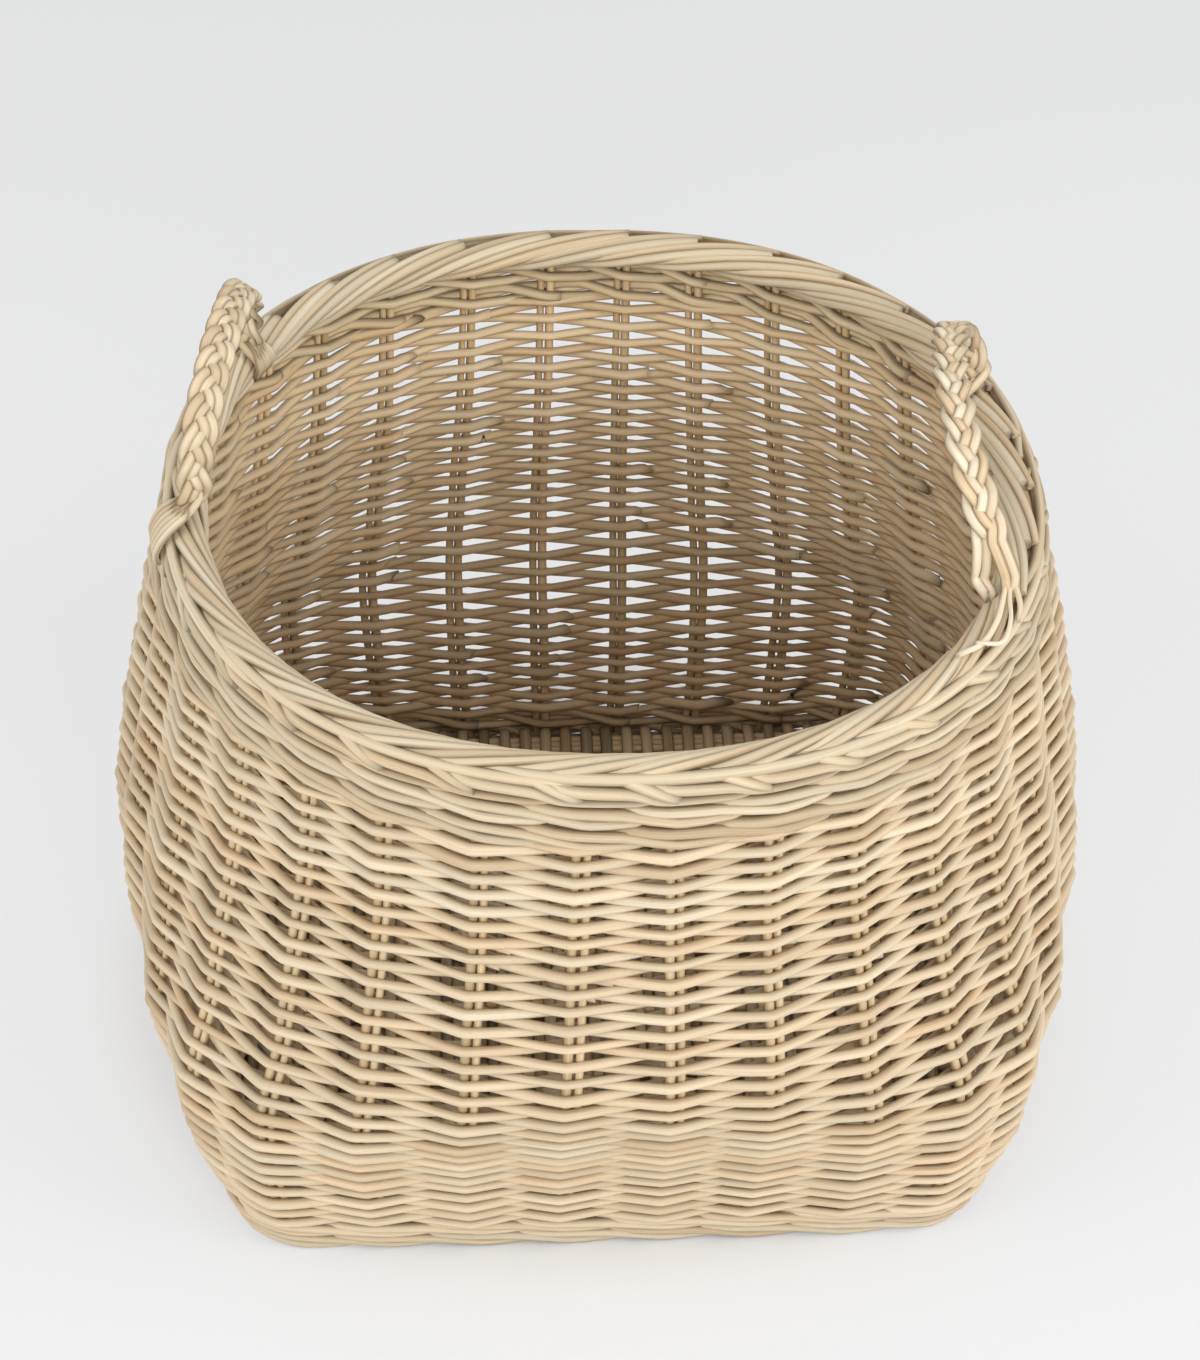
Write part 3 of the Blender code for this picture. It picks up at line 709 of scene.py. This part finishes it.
def willow(name):
    """Buff willow: a tone for each rod, streaks along it, greyed patches, specks and cut ends, with
    painted shade low inside the wall and in the grooves between rods, and painted light high inside the
    wall.
    """
    material = bpy.data.materials.new(name)
    material.use_nodes = True
    tree = material.node_tree
    tree.nodes.clear()
    n = Nodes(tree)
    grain = n.attribute("grain")
    tone, warm, age = n.parts(n.attribute("look"))
    painted_low_shade, painted_high_light, groove_shade = n.parts(n.attribute("painted_shading"))
    end = n.attribute("end", "Fac")

    thin = n.scaled(grain, (0.35, 3.2, 3.2))
    fine = {"Vector": thin, "Scale": 1.0, "Detail": 4.0, "Roughness": 0.6}
    fine = n.add("ShaderNodeTexNoise", fine).outputs["Fac"]
    stretched = n.scaled(grain, (0.13, 0.7, 0.7))
    patches = {"Vector": stretched, "Scale": 1.0, "Detail": 3.0}
    patches = n.add("ShaderNodeTexNoise", patches).outputs["Fac"]
    mottled = n.scaled(grain, (1.9, 1.5, 1.5))
    cells = n.add("ShaderNodeTexVoronoi", {"Vector": mottled, "Scale": 0.6}).outputs["Distance"]
    specks = n.range(cells, 0.03, 0.09, 0.55, 0.0)

    patched = n.math("ADD", tone, n.range(patches, 0.3, 0.7, -PATCH_TONE, PATCH_TONE), clamp=True)
    dark, middle, pale = [srgb(values) for values in WILLOWS[name]]
    colour = n.ramp(patched, ((0.0, dark), (0.5, middle), (1.0, pale)))
    colour = n.tint(n.math("MULTIPLY", warm, WARM_SHARE), colour, WARM_TINT)
    greyed = n.math("MULTIPLY", n.range(patches, 0.42, 0.62, 0.0, 1.0), age)
    colour = n.tint(n.math("MULTIPLY", greyed, GREY_SHARE, clamp=True), colour, GREY_TINT)
    # Painted shade low on the wall's inner side and painted light high on it
    colour = n.tint(painted_low_shade, colour, LOW_INSIDE_SHADE_TINT)
    colour = n.tint(painted_high_light, colour, HIGH_INSIDE_LIGHT_TINT)
    # Painted shade in the grooves between rods
    colour = n.tint(groove_shade, colour, GROOVE_SHADE_TINT)
    streak = n.range(fine, 0.28, 0.72, 1.0 - STREAKS, 1.0 + STREAKS)
    colour = n.add("ShaderNodeVectorMath", {0: colour, 3: streak}, operation="SCALE").outputs[0]
    colour = n.mix(specks, colour, (*SPECK_COLOUR, 1.0))
    colour = n.mix(n.math("MULTIPLY", end, CUT_SHARE), colour, (*CUT_COLOUR, 1.0))

    height = n.math("ADD", fine, n.math("MULTIPLY", specks, SPECK_BUMP))
    bump = n.add("ShaderNodeBump", {"Strength": 0.4, "Distance": 0.5 * MM, "Height": height})
    looks = {"Base Color": colour, "Roughness": n.range(fine, 0.25, 0.75, 0.52, 0.74),
             "Normal": bump.outputs["Normal"], "Specular IOR Level": 0.32}
    shader = n.add("ShaderNodeBsdfPrincipled", looks)
    output = n.add("ShaderNodeOutputMaterial")
    tree.links.new(shader.outputs[0], output.inputs["Surface"])
    return material


def make_stakes(material):
    """Two upright rods side by side for each stake, thick and thin."""
    rods = Rods()
    z = np.linspace(STAKE_START, STAKE_TOP + STAKE_TUCK, STAKE_STEPS)
    taper = 1.0 + (STAKE_TIP_SHARE - 1.0) * z / STAKE_TOP
    for k in range(STAKES):
        place, normal = wall_at(stake_share(np.full(len(z), float(k)), z), z)
        sideways = np.cross(UP, normal)
        for diameter, side in ((THICK_STAKE, -1.0), (THIN_STAKE, 1.0)):
            shift = side * (THICK_STAKE + THIN_STAKE - diameter + STAKE_GAP) / 2.0
            path = place + sideways * (shift * taper)[:, None]
            path += sideways * soft_noise(z, *STAKE_WAVE)[:, None]
            rods.add(path, diameter * taper, facing=normal, outward=normal, flat=STAKE_FLATNESS,
                     grooves=STAKE_GROOVE_SHADES, **random_look(*STAKE_LOOK))
    names = [f"stake_pair_{k + 1:02d}" for k in range(STAKES)]
    rods.finish("stakes", material, names)


def row_levels():
    """Heights of the courses of the side weave, closer together near the foot."""
    levels, z = [], FOOT_TOP
    while z < WEAVE_TOP + TOP_SLACK:
        share = (z - FOOT_TOP) / (WEAVE_TOP - FOOT_TOP)
        pitch = float(smooth_curve(PITCH_SHARES, PITCHES, share))
        levels.append(z + pitch / 2.0)
        z += pitch
    return levels


def row_wave(shares, z):
    """Slow rise and fall of the courses, higher in front, and none at the foot and the rim."""
    woven = min(max((z - FOOT_TOP) / (WEAVE_TOP - FOOT_TOP), 0.0), 1.0)
    total = -ROW_TILT / WAVE_SIZE * np.sin(FULL_TURN * shares)
    for count, phase, climb in WAVES:
        turn = FULL_TURN * count * shares + phase + climb * z / HEIGHT * 2.0
        total = total + np.sin(turn) / count ** 0.5
    return WAVE_SIZE * math.sin(math.pi * woven) * total


def stake_steps(first, last, shares):
    """Places from one to another, counted in stakes, at the same shares of each stake spacing."""
    whole = np.arange(math.floor(first), math.ceil(last) + 1)
    places = (whole[:, None] + shares[None]).ravel()
    places = places[(places > first + 0.02) & (places < last - 0.02)]
    return np.concatenate([[first], places, [last]])


def weave_rod(rods, first, last, level, parity, butt, tip):
    """One rod of the randing, nearly straight from stake to stake, with both ends inside."""
    u = stake_steps(first, last, BEND_SHARES)
    share = stake_share(u, level) - BEND_SHIFT / STAKES
    diameter = butt + (tip - butt) * ((u - first) / (last - first)) ** TAPER_POWER
    diameter = diameter * (1.0 + BUTT_FLARE * np.exp(-(u - first) / FLARE_LENGTH))
    wander = ROW_WANDER + FOOT_WANDER * math.exp(-level / NEAR_FOOT)
    z = level + row_wave(share, level) + soft_noise(u, wander, WANDER_LENGTH)
    swing = np.arcsin(BEND * np.cos(math.pi * (u - parity))) / math.asin(BEND)
    taper = 1.0 + (STAKE_TIP_SHARE - 1.0) * level / STAKE_TOP
    reach = (THICK_STAKE * STAKE_FLATNESS * taper + diameter) / 2.0 * rng.uniform(*REACH_SPREAD)
    near_butt = np.exp(-((u - first) / BUTT_STRETCH) ** 2)
    near_tip = np.exp(-((last - u) / TIP_STRETCH) ** 2)
    out = reach * swing - near_butt * BUTT_TUCK + near_tip * TIP_TUCK
    place, normal = wall_at(share, z + near_butt * BUTT_RISE - near_tip * TIP_DROP)
    rods.add(place + normal * out[:, None], diameter, facing=UP, outward=normal,
             ends=(rng.beta(*BUTT_DARKNESS), rng.uniform(0.0, TIP_DARKNESS)),
             cuts=(rng.uniform(-BUTT_CUT, BUTT_CUT), 0.0), flat=rng.uniform(*WEAVER_FLATNESS),
             grooves=WEAVE_GROOVE_SHADES, **random_look(*WEAVE_LOOK))


def wale_rod(rods, first, last, level, phase, diameter, step):
    """A rod that passes outside two stakes, high past the first and low past the next, and
    inside a third."""
    u = stake_steps(first, last, WALE_SHARES)
    beat = (u + WALE_SLANT - phase) % WALE_RODS
    share = stake_share(u, level)
    depths = [np.interp(beat + shift, WALE_DEPTH_PLACES, WALE_DEPTHS, period=WALE_RODS)
              for shift in WALE_SOFTENING]
    out = sum(depths) / len(depths)
    lift = np.interp(beat, WALE_LEVEL_PLACES, WALE_LEVELS, period=WALE_RODS)
    z = level + lift * step / 4.0 + row_wave(share, level) + soft_noise(u, *WALE_WAVE)
    place, normal = wall_at(share, z)
    reach = (THICK_STAKE * STAKE_FLATNESS * WALE_STAKE_SHARE + diameter) / 2.0
    out = np.where(out > 0.0, out * WALE_OUTWARD, out)
    taper = 1.0 - WALE_TAPER * (u - first) / (last - first)
    rods.add(place + normal * (reach * out)[:, None], diameter * taper, facing=UP, outward=normal,
             ends=WALE_ENDS, cuts=WALE_CUTS, grooves=WALE_GROOVE_SHADES, **random_look(*WALE_LOOK))


def wale_round(rods, level, diameter, step):
    """One round of wale, in lengths that all start and end inside, closed at one seam."""
    seam = float(rng.integers(0, STAKES // WALE_RODS) * WALE_RODS) + 2.0
    for phase in range(WALE_RODS):
        place = seam + phase
        goal = seam + STAKES + (phase + 1) % WALE_RODS
        while place < goal:
            length = min(float(rng.integers(*WALE_STROKES) * WALE_RODS), goal - place)
            if goal - place - length < WALE_LEAST_REST:
                length = goal - place
            first, last = place - WALE_OVERLAPS[0], place + length + WALE_OVERLAPS[1]
            thickness = diameter * rng.uniform(*WALE_SPREAD)
            wale_rod(rods, first, last, level, phase, thickness, step)
            place += length


def make_side_weave(material):
    """A low round of wale, and every course of the wall above it, each of a few spliced rods."""
    rods = Rods()
    step = FOOT_TOP - WEAVE_BOTTOM + LOW_WALE_OVERLAP
    level = WEAVE_BOTTOM - LOW_WALE_OVERLAP + step / 2.0
    wale_round(rods, level, WALE_ROD * LOW_WALE_SHARE, step)
    for i, level in enumerate(row_levels()):
        parity = i % 2
        place = int(rng.integers(0, STAKES // 2)) * 2 + parity + 1
        goal = place + STAKES
        while place < goal:
            length = int(rng.integers(SHORTEST_ROD // 2, LONGEST_ROD // 2 + 1)) * 2
            length = min(length, goal - place)
            if goal - place - length < LEAST_REST:
                length = goal - place
            first = place - rng.uniform(*BUTT_OVERLAP)
            last = place + length + rng.uniform(*TIP_OVERLAP)
            butt = BUTT_DIAMETER * rng.uniform(*BUTT_SPREAD)
            tip = TIP_DIAMETER * rng.uniform(*TIP_SPREAD)
            weave_rod(rods, first, last, level, parity, butt, tip)
            place += length
    weavers = ["weaver_1_lower", "weaver_1_upper", "weaver_2_lower", "weaver_2_upper"]
    rods.finish("side_weave", material, weavers)


def make_wales(material):
    """Thicker courses that bind the top and the foot."""
    top = Rods()
    step = (WALE_TOP - WEAVE_TOP) / WALE_ROUNDS
    for i in range(WALE_ROUNDS):
        wale_round(top, WEAVE_TOP + (i + 0.5) * step, WALE_ROD, step)
    top.finish("top_wale", material, ["top_rod_1", "top_rod_2", "top_rod_3"])
    foot = Rods()
    wale_round(foot, WEAVE_BOTTOM / 2.0 + FOOT_RISE, WALE_ROD * FOOT_SHARE, WEAVE_BOTTOM)
    foot.finish("foot_wale", material, ["foot_rod_1", "foot_rod_2"])


def rim_rod(rods, places, degrees, reach, shares, diameter, tip, steps, **looks):
    """A rod round the border, through a few places that a smooth curve joins: stakes along it,
    angles, and shares of a reach."""
    at = np.linspace(0.0, 1.0, steps)
    keys = np.linspace(0.0, 1.0, len(places))
    reaches = [reach * share for share in shares]
    path, direction = rim_at(*[smooth_curve(keys, row, at) for row in (places, degrees, reaches)])
    rods.add(path, diameter * (1.0 + (tip - 1.0) * at), facing=direction, sides=RIM_SIDES,
             grooves=RIM_GROOVE_SHADES, **looks)


def make_roll(rods):
    """Pairs that rise from the inside of the wall, roll outwards over the border and end on top."""
    for k in range(STAKES):
        end = k + rng.uniform(-0.10, 0.10)
        place = rim_at([end], 0.0, 0.0)[0][0]
        way = math.degrees(math.atan2(place[1], place[0])) % 360.0
        stop = float(smooth_curve(ROLL_PLACES, ROLL_ENDS, way))
        tucked = min(max((TUCK_START - stop) / TUCK_SPAN, 0.0), 1.0)
        stop += rng.uniform(-3.0, 3.0)
        for size, lag in ((ROLL_THICK, 0.0), (ROLL_THIN, ROLL_LAG + rng.uniform(-3.0, 3.0))):
            diameter = size * rng.uniform(*ROLL_SPREAD)
            reach = (BORDER_WIDTH - diameter) / 2.0
            length = (ROLL_ROOT - stop) / ROLL_TURN
            places = [end + length * part for part in ROLL_PARTS]
            places[0] += rng.uniform(-0.04, 0.04)
            angles = [stop + lag + ROLL_TURN * length * part for part in ROLL_PARTS]
            shares = (1.0 - TUCK_DEPTH * tucked, 1.0, 1.0, ROLL_ROOT_REACH)
            rim_rod(rods, places, angles, reach, shares, diameter, 1.0, RIM_STEPS,
                    ends=(rng.uniform(0.1, 0.4), 0.0), cuts=(rng.uniform(-0.3, 0.3), 0.0),
                    **random_look(*RIM_LOOK))


def make_outer_rim(rods):
    """The long rods, the steps and the stubs of the outer edge."""
    reach = (BORDER_WIDTH - RIM_ROD) / 2.0
    place = rng.uniform(0.0, 2.0)
    goal = place + STAKES
    while place < goal - 0.5:
        length = rng.uniform(*LONG_LENGTHS)
        places = [place + length * share + shift for share, shift in LONG_PLACES]
        diameter = RIM_ROD * rng.uniform(*LONG_SPREAD)
        rim_rod(rods, places, LONG_ANGLES, reach, LONG_REACHES, diameter, LONG_TIP, LONG_STEPS,
                **random_look(*RIM_LOOK))
        place += length
    for k in range(STAKES):
        at = k + rng.uniform(-0.06, 0.06)
        diameter = RIM_ROD * rng.uniform(*STEP_SPREAD)
        rim_rod(rods, [at + shift for shift in STEP_PLACES], STEP_ANGLES, reach, STEP_REACHES,
                diameter, STEP_TIP, RIM_STEPS, **random_look(*STEP_LOOK))
        at = k + rng.uniform(-0.05, 0.05)
        diameter = STUB_ROD * rng.uniform(*STUB_SPREAD)
        angles = (*STUB_ANGLES, rng.uniform(*STUB_LAST_ANGLES))
        rim_rod(rods, [at + shift for shift in STUB_PLACES], angles, reach, STUB_REACHES,
                diameter, 1.0, STUB_STEPS, ends=(0.0, rng.uniform(0.45, 0.8)),
                cuts=(0.0, rng.uniform(-0.8, 0.8)), **random_look(*RIM_LOOK))


def make_border(material):
    """The rolled border, over a plain core."""
    rods = Rods()
    make_roll(rods)
    make_outer_rim(rods)
    for angle in CORE_ANGLES:
        u = np.linspace(0.0, STAKES, CORE_STEPS)
        path, direction = rim_at(u, angle + u * CORE_TURN, CORE_REACH)
        rods.add(path, CORE_ROD, facing=direction, **random_look(*CORE_LOOK))
    names = [f"border_strand_{k + 1}" for k in range(4)]
    rods.finish("rolled_border", material, names)


def make_base(stick_material, weaver_material):
    """Thick sticks across the width and flat weavers over and under them."""
    low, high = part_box("base_weave")
    names = [f"base_stick_{k + 1}" for k in range(BASE_STICKS)]
    boxes = [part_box(name) for name in names]
    places = [(least.y + most.y) / 2.0 for least, most in boxes]
    level = (boxes[0][0].z + boxes[0][1].z) / 2.0

    def cross_path(start, end, y, wave):
        """A nearly straight way across the width."""
        x = np.linspace(start, end, BASE_ROD_STEPS)
        return np.stack([x, y + soft_noise(x, *wave), np.full(len(x), level)], axis=1)

    sticks = Rods()
    for y, box in zip(places, boxes):
        for shift in BASE_ROD_SHIFTS:
            path = cross_path(-box[1].x, box[1].x, y + shift, BASE_ROD_WAVE)
            sticks.add(path, BASE_ROD, facing=UP, grooves=BASE_GROOVE_SHADES, **random_look(*BASE_ROD_LOOK))
    sticks.finish("base_sticks", stick_material, names)

    weavers = Rods()
    edge = high.y - EDGE_ROD_INSET
    knots = [-2.0 * edge - places[0], -edge] + places + [edge, 2.0 * edge - places[-1]]
    side = boxes[0][1].x - BASE_SIDE_INSET
    corner = WALL_PLACES[WALL_ROW_AT_BASE, GRID_SHARES // 4::-1]
    for column in range(int(2.0 * side / BASE_PITCH) + 1):
        x = column * BASE_PITCH - side
        wall = float(np.interp(abs(x), corner[:, 0], corner[:, 1])) - WALL_CLEARANCE
        reach = min(high.y + BASE_PAST_EDGE, wall)
        y = np.linspace(-reach, reach, BASE_WEAVER_STEPS)
        phase = np.interp(y, knots, np.arange(len(knots)))
        swing = np.cos(math.pi * (phase + column)) * BASE_SWING
        path = np.stack([x + soft_noise(y, *BASE_WEAVER_WAVE), y, level + swing], axis=1)
        weavers.add(path, rng.uniform(*BASE_WEAVER_WIDTHS) * MM, facing=UP, flat=BASE_FLATNESS,
                    ends=BASE_WEAVER_ENDS, grooves=BASE_GROOVE_SHADES, **random_look(*BASE_WEAVER_LOOK))
    for y in (-edge, edge):
        for shift in EDGE_ROD_SHIFTS:
            path = cross_path(low.x, high.x, y + shift, EDGE_ROD_WAVE)
            weavers.add(path, EDGE_ROD, facing=UP, tone=1.0, warm=0.9, age=0.0)
    weavers.finish("base_weavers", weaver_material, ["base_weave"])


def make_bow(sizes, ends):
    """The middle line of a handle's bow, at even steps, and its directions: the way across the
    opening and outward, and all along it across and inward."""
    way = unit(ends[1] - ends[0])
    outward = unit(np.cross(way, UP))
    arc = math.pi * np.linspace(0.0, 1.0, BOW_STEPS)
    bow = ends[0] + (ends[1] - ends[0]) * ((1.0 - np.cos(arc)) / 2.0)[:, None]
    bow = bow + UP * (sizes["rise"] * np.maximum(np.sin(arc), 0.0) ** BOW_FULLNESS)[:, None]
    bow = bow - outward * (sizes["lean"] * np.sin(arc))[:, None]
    gone = lengths_along(bow)
    even = np.linspace(0.0, gone[-1], BOW_STEPS)
    bow = np.stack([np.interp(even, gone, bow[:, axis]) for axis in range(3)], axis=1)
    ahead = unit(np.gradient(bow, axis=0))
    across = unit(outward - ahead * (ahead @ outward)[:, None])
    roll = math.radians(sizes["roll"])
    across = across * math.cos(roll) + np.cross(ahead, across) * math.sin(roll)
    return bow, way, outward, across, np.cross(ahead, across)


def plait_rods(bow, across, inward, parted):
    """The middle lines of a plait's flat rods. They lie apart over a first share of the bow."""
    t = np.linspace(0.0, 1.0, BOW_STEPS)
    bodies = []
    for s in range(PLAIT_STRANDS):
        turns = PLAIT_TURNS * np.maximum(t, parted) + s / PLAIT_STRANDS + PLAIT_START
        phase = FULL_TURN * turns
        widening = PARTED_WIDENING * np.maximum(parted - t, 0.0) / PARTED_SHARE
        half_width = PLAIT_HALF_WIDTH * (1.0 + widening)
        centre = bow + across * (half_width * np.cos(phase))[:, None]
        centre = centre + inward * (PLAIT_HALF_DEPTH * np.sin(2.0 * phase))[:, None]
        beside = unit(np.cross(unit(np.gradient(centre, axis=0)), inward))
        bodies += [centre + beside * shift for shift in STRAND_SHIFTS]
    return bodies


def rod_facing(path, bow, inward):
    """The flat side of a handle's rod: the plait's own in the bow, and the border's past it."""
    gaps = gaps_to(path, bow)
    plait = inward[np.argmin(gaps, axis=1)]
    border = unit(path - RIM_PLACES[np.argmin(gaps_to(path, RIM_PLACES), axis=1)])
    signs = np.sign(np.sum(plait * border, axis=1))
    towards = np.where(np.arange(len(path)) < len(path) / 2, signs[0], signs[-1])[:, None]
    away = np.clip((gaps.min(axis=1) - TAIL_NEAR) / TAIL_NEAR, 0.0, 1.0)[:, None]
    return plait * (1.0 - away) + border * towards * away


def make_handle(side, material):
    """A flat plait of three strands, each of two flat rods, whose ends go back over the border."""
    sizes = HANDLES[side]
    shares = np.arange(GRID_SHARES) / GRID_SHARES
    steps = np.roll(RIM_PLACES, -1, axis=0) - RIM_PLACES
    girth = float(np.sum(np.linalg.norm(steps, axis=1)))
    turn = np.degrees(np.arctan2(RIM_PLACES[:, 1], RIM_PLACES[:, 0])) - sizes["angle"]
    middle = shares[np.argmin(np.abs((turn + 180.0) % 360.0 - 180.0))]
    seat = BORDER_WIDTH / 2.0 + STRAND_ROD * STRAND_SEAT
    half_span = sizes["span"] / 2.0

    def over_rim(along, degrees, reach):
        """Places over the border, at lengths along the rim from the handle's middle."""
        return rim_at((middle + np.asarray(along) / girth) * STAKES - 0.5, degrees, reach)[0]

    ends = over_rim((-half_span, half_span), FOOT_ANGLE, seat + PLAIT_HALF_DEPTH * 2.0)
    bow, way, outward, across, inward = make_bow(sizes, ends)
    parted = PARTED_SHARE if sizes["feet"][0] == "dive" else 0.0
    bodies = plait_rods(bow, across, inward, parted)
    for foot, near, way_out in zip((-1.0, 1.0), (0, -1), sizes["feet"]):
        offsets = [float((body[near] - bow[near]) @ outward) for body in bodies]
        ranks = np.argsort(np.argsort(offsets))
        for i, body in enumerate(bodies):
            if way_out == "dive":
                core = RIM_PLACES[np.argmin(gaps_to(body[near][None], RIM_PLACES))]
                into = unit(core - body[near])
                tail = body[near] + (into + way * foot * DIVE_SLANT) * DIVE_DEPTHS[:, None]
            else:
                degrees, slants, heights = [np.array(values) for values in TAILS[way_out]]
                rank = (len(bodies) - 1) / 2.0 - float(ranks[i])
                spread = rank * TAIL_SPREAD * np.minimum(1.0, 0.45 + slants / 10.0)
                along = foot * (half_span + slants * MM + spread)
                tail = smooth_path(over_rim(along, degrees, seat + heights * MM), TAIL_STEP)
            bodies[i] = np.concatenate([tail[::-1], body] if near == 0 else [body, tail])
    rods = Rods()
    for body in bodies:
        path = smooth_path(body[::3], STRAND_STEP)
        rods.add(path, STRAND_ROD * rng.uniform(*STRAND_SPREAD),
                 facing=rod_facing(path, bow, inward), flat=STRAND_FLATNESS,
                 sides=STRAND_SIDES, ends=STRAND_ENDS, cuts=STRAND_CUTS, grooves=STRAND_GROOVE_SHADES,
                 **random_look(*STRAND_LOOK))
    for degrees, slants, heights in sizes["loose"]:
        along = -half_span - np.array(slants) * MM
        heights = (BORDER_WIDTH + LOOSE_ROD) / 2.0 + np.array(heights) * MM
        path = smooth_path(over_rim(along, degrees, heights), LOOSE_STEP)
        rods.add(path, LOOSE_ROD * rng.uniform(*LOOSE_SPREAD), ends=(0.0, 0.4),
                 **random_look(*LOOSE_LOOK))
    names = [f"{side}_handle_strand_{s + 1}" for s in range(PLAIT_STRANDS)]
    rods.finish(f"{side}_handle_plait", material, names)


def make_floor():
    """A pale floor that runs out of the picture."""
    mesh = bpy.data.meshes.new("floor")
    corners = [(x * FLOOR_REACH, y * FLOOR_REACH, 0.0) for x, y in ((-1, -1), (1, -1), (1, 1), (-1, 1))]
    mesh.from_pydata(corners, [], [(0, 1, 2, 3)])
    floor = bpy.data.objects.new("floor", mesh)
    bpy.context.scene.collection.objects.link(floor)
    floor.location.z = -FLOOR_DROP
    material = bpy.data.materials.new("floor_paper")
    material.use_nodes = True
    mesh.materials.append(material)
    tree = material.node_tree
    shader = tree.nodes["Principled BSDF"]
    shader.inputs["Roughness"].default_value = 0.9
    shader.inputs["Specular IOR Level"].default_value = 0.1
    n = Nodes(tree)
    seen = n.seen_rays()
    tree.links.new(n.mix(seen, FLOOR_BOUNCE, FLOOR_SEEN), shader.inputs["Base Color"])
    place = n.add("ShaderNodeNewGeometry").outputs["Position"]
    depth = n.parts(place)[1]
    strength = n.range(depth, GLOW_FRONT_PLACE, GLOW_BACK_PLACE, GLOW_FRONT, GLOW_BACK)
    glow = n.add("ShaderNodeEmission", {"Strength": strength}).outputs[0]
    away = n.add("ShaderNodeVectorMath", {0: place}, operation="LENGTH").outputs["Value"]
    share = n.math("MULTIPLY", seen, n.range(away, GLOW_START, GLOW_FULL, 0.0, FLOOR_EVEN))
    both = n.add("ShaderNodeMixShader", {0: share, 1: shader.outputs[0], 2: glow}).outputs[0]
    tree.links.new(both, tree.nodes["Material Output"].inputs["Surface"])


def make_light():
    """A pale room, a large soft lamp in front and one at each side."""
    world = bpy.data.worlds.new("room")
    bpy.context.scene.world = world
    world.use_nodes = True
    room = world.node_tree.nodes["Background"]
    room.inputs["Color"].default_value = (1.0, 1.0, 1.0, 1.0)
    n = Nodes(world.node_tree)
    strength = n.range(n.seen_rays(), 0.0, 1.0, ROOM_LIGHT, ROOM_SEEN)
    world.node_tree.links.new(strength, room.inputs["Strength"])
    for name, (place, size, power) in LAMPS.items():
        light = bpy.data.lights.new(name, "AREA")
        light.shape = "DISK"
        light.size = size
        light.energy = power
        lamp = bpy.data.objects.new(name, light)
        bpy.context.scene.collection.objects.link(lamp)
        lamp.location = place
        lamp.rotation_euler = (LAMP_AIM - Vector(place)).to_track_quat("-Z", "Y").to_euler()


def make_camera():
    """The photograph's viewpoint: high in front, turned a little to one side."""
    elevation, roll = math.radians(CAMERA_ELEVATION), math.radians(CAMERA_ROLL)
    ahead = Vector((0.0, math.cos(elevation), -math.sin(elevation)))
    right = Vector((1.0, 0.0, 0.0))
    up = Vector((0.0, math.sin(elevation), math.cos(elevation)))
    rolled_right = right * math.cos(roll) + up * math.sin(roll)
    rolled_up = up * math.cos(roll) - right * math.sin(roll)
    place = Vector((TARGET_X, 0.0, TARGET_Z)) - ahead * CAMERA_DISTANCE
    turn = Matrix.Rotation(-math.radians(CAMERA_YAW), 3, "Z")
    axes = turn @ Matrix((rolled_right, rolled_up, -ahead)).transposed()
    data = bpy.data.cameras.new("camera")
    data.sensor_fit = "AUTO"
    data.sensor_width = SENSOR
    data.lens = FOCAL_PIXELS * SENSOR / IMAGE_HEIGHT
    camera = bpy.data.objects.new("camera", data)
    bpy.context.scene.collection.objects.link(camera)
    camera.matrix_world = Matrix.Translation(turn @ place) @ axes.to_4x4()
    bpy.context.scene.camera = camera


willows = {name: willow(name) for name in WILLOWS}
make_stakes(willows["stake_willow"])
make_side_weave(willows["weave_willow"])
make_wales(willows["border_willow"])
make_border(willows["border_willow"])
make_base(willows["base_stick_willow"], willows["base_weaver_willow"])
for handle_side in HANDLES:
    make_handle(handle_side, willows["handle_willow"])
make_floor()
make_light()
make_camera()
bpy.context.scene.view_settings.view_transform = "Standard"
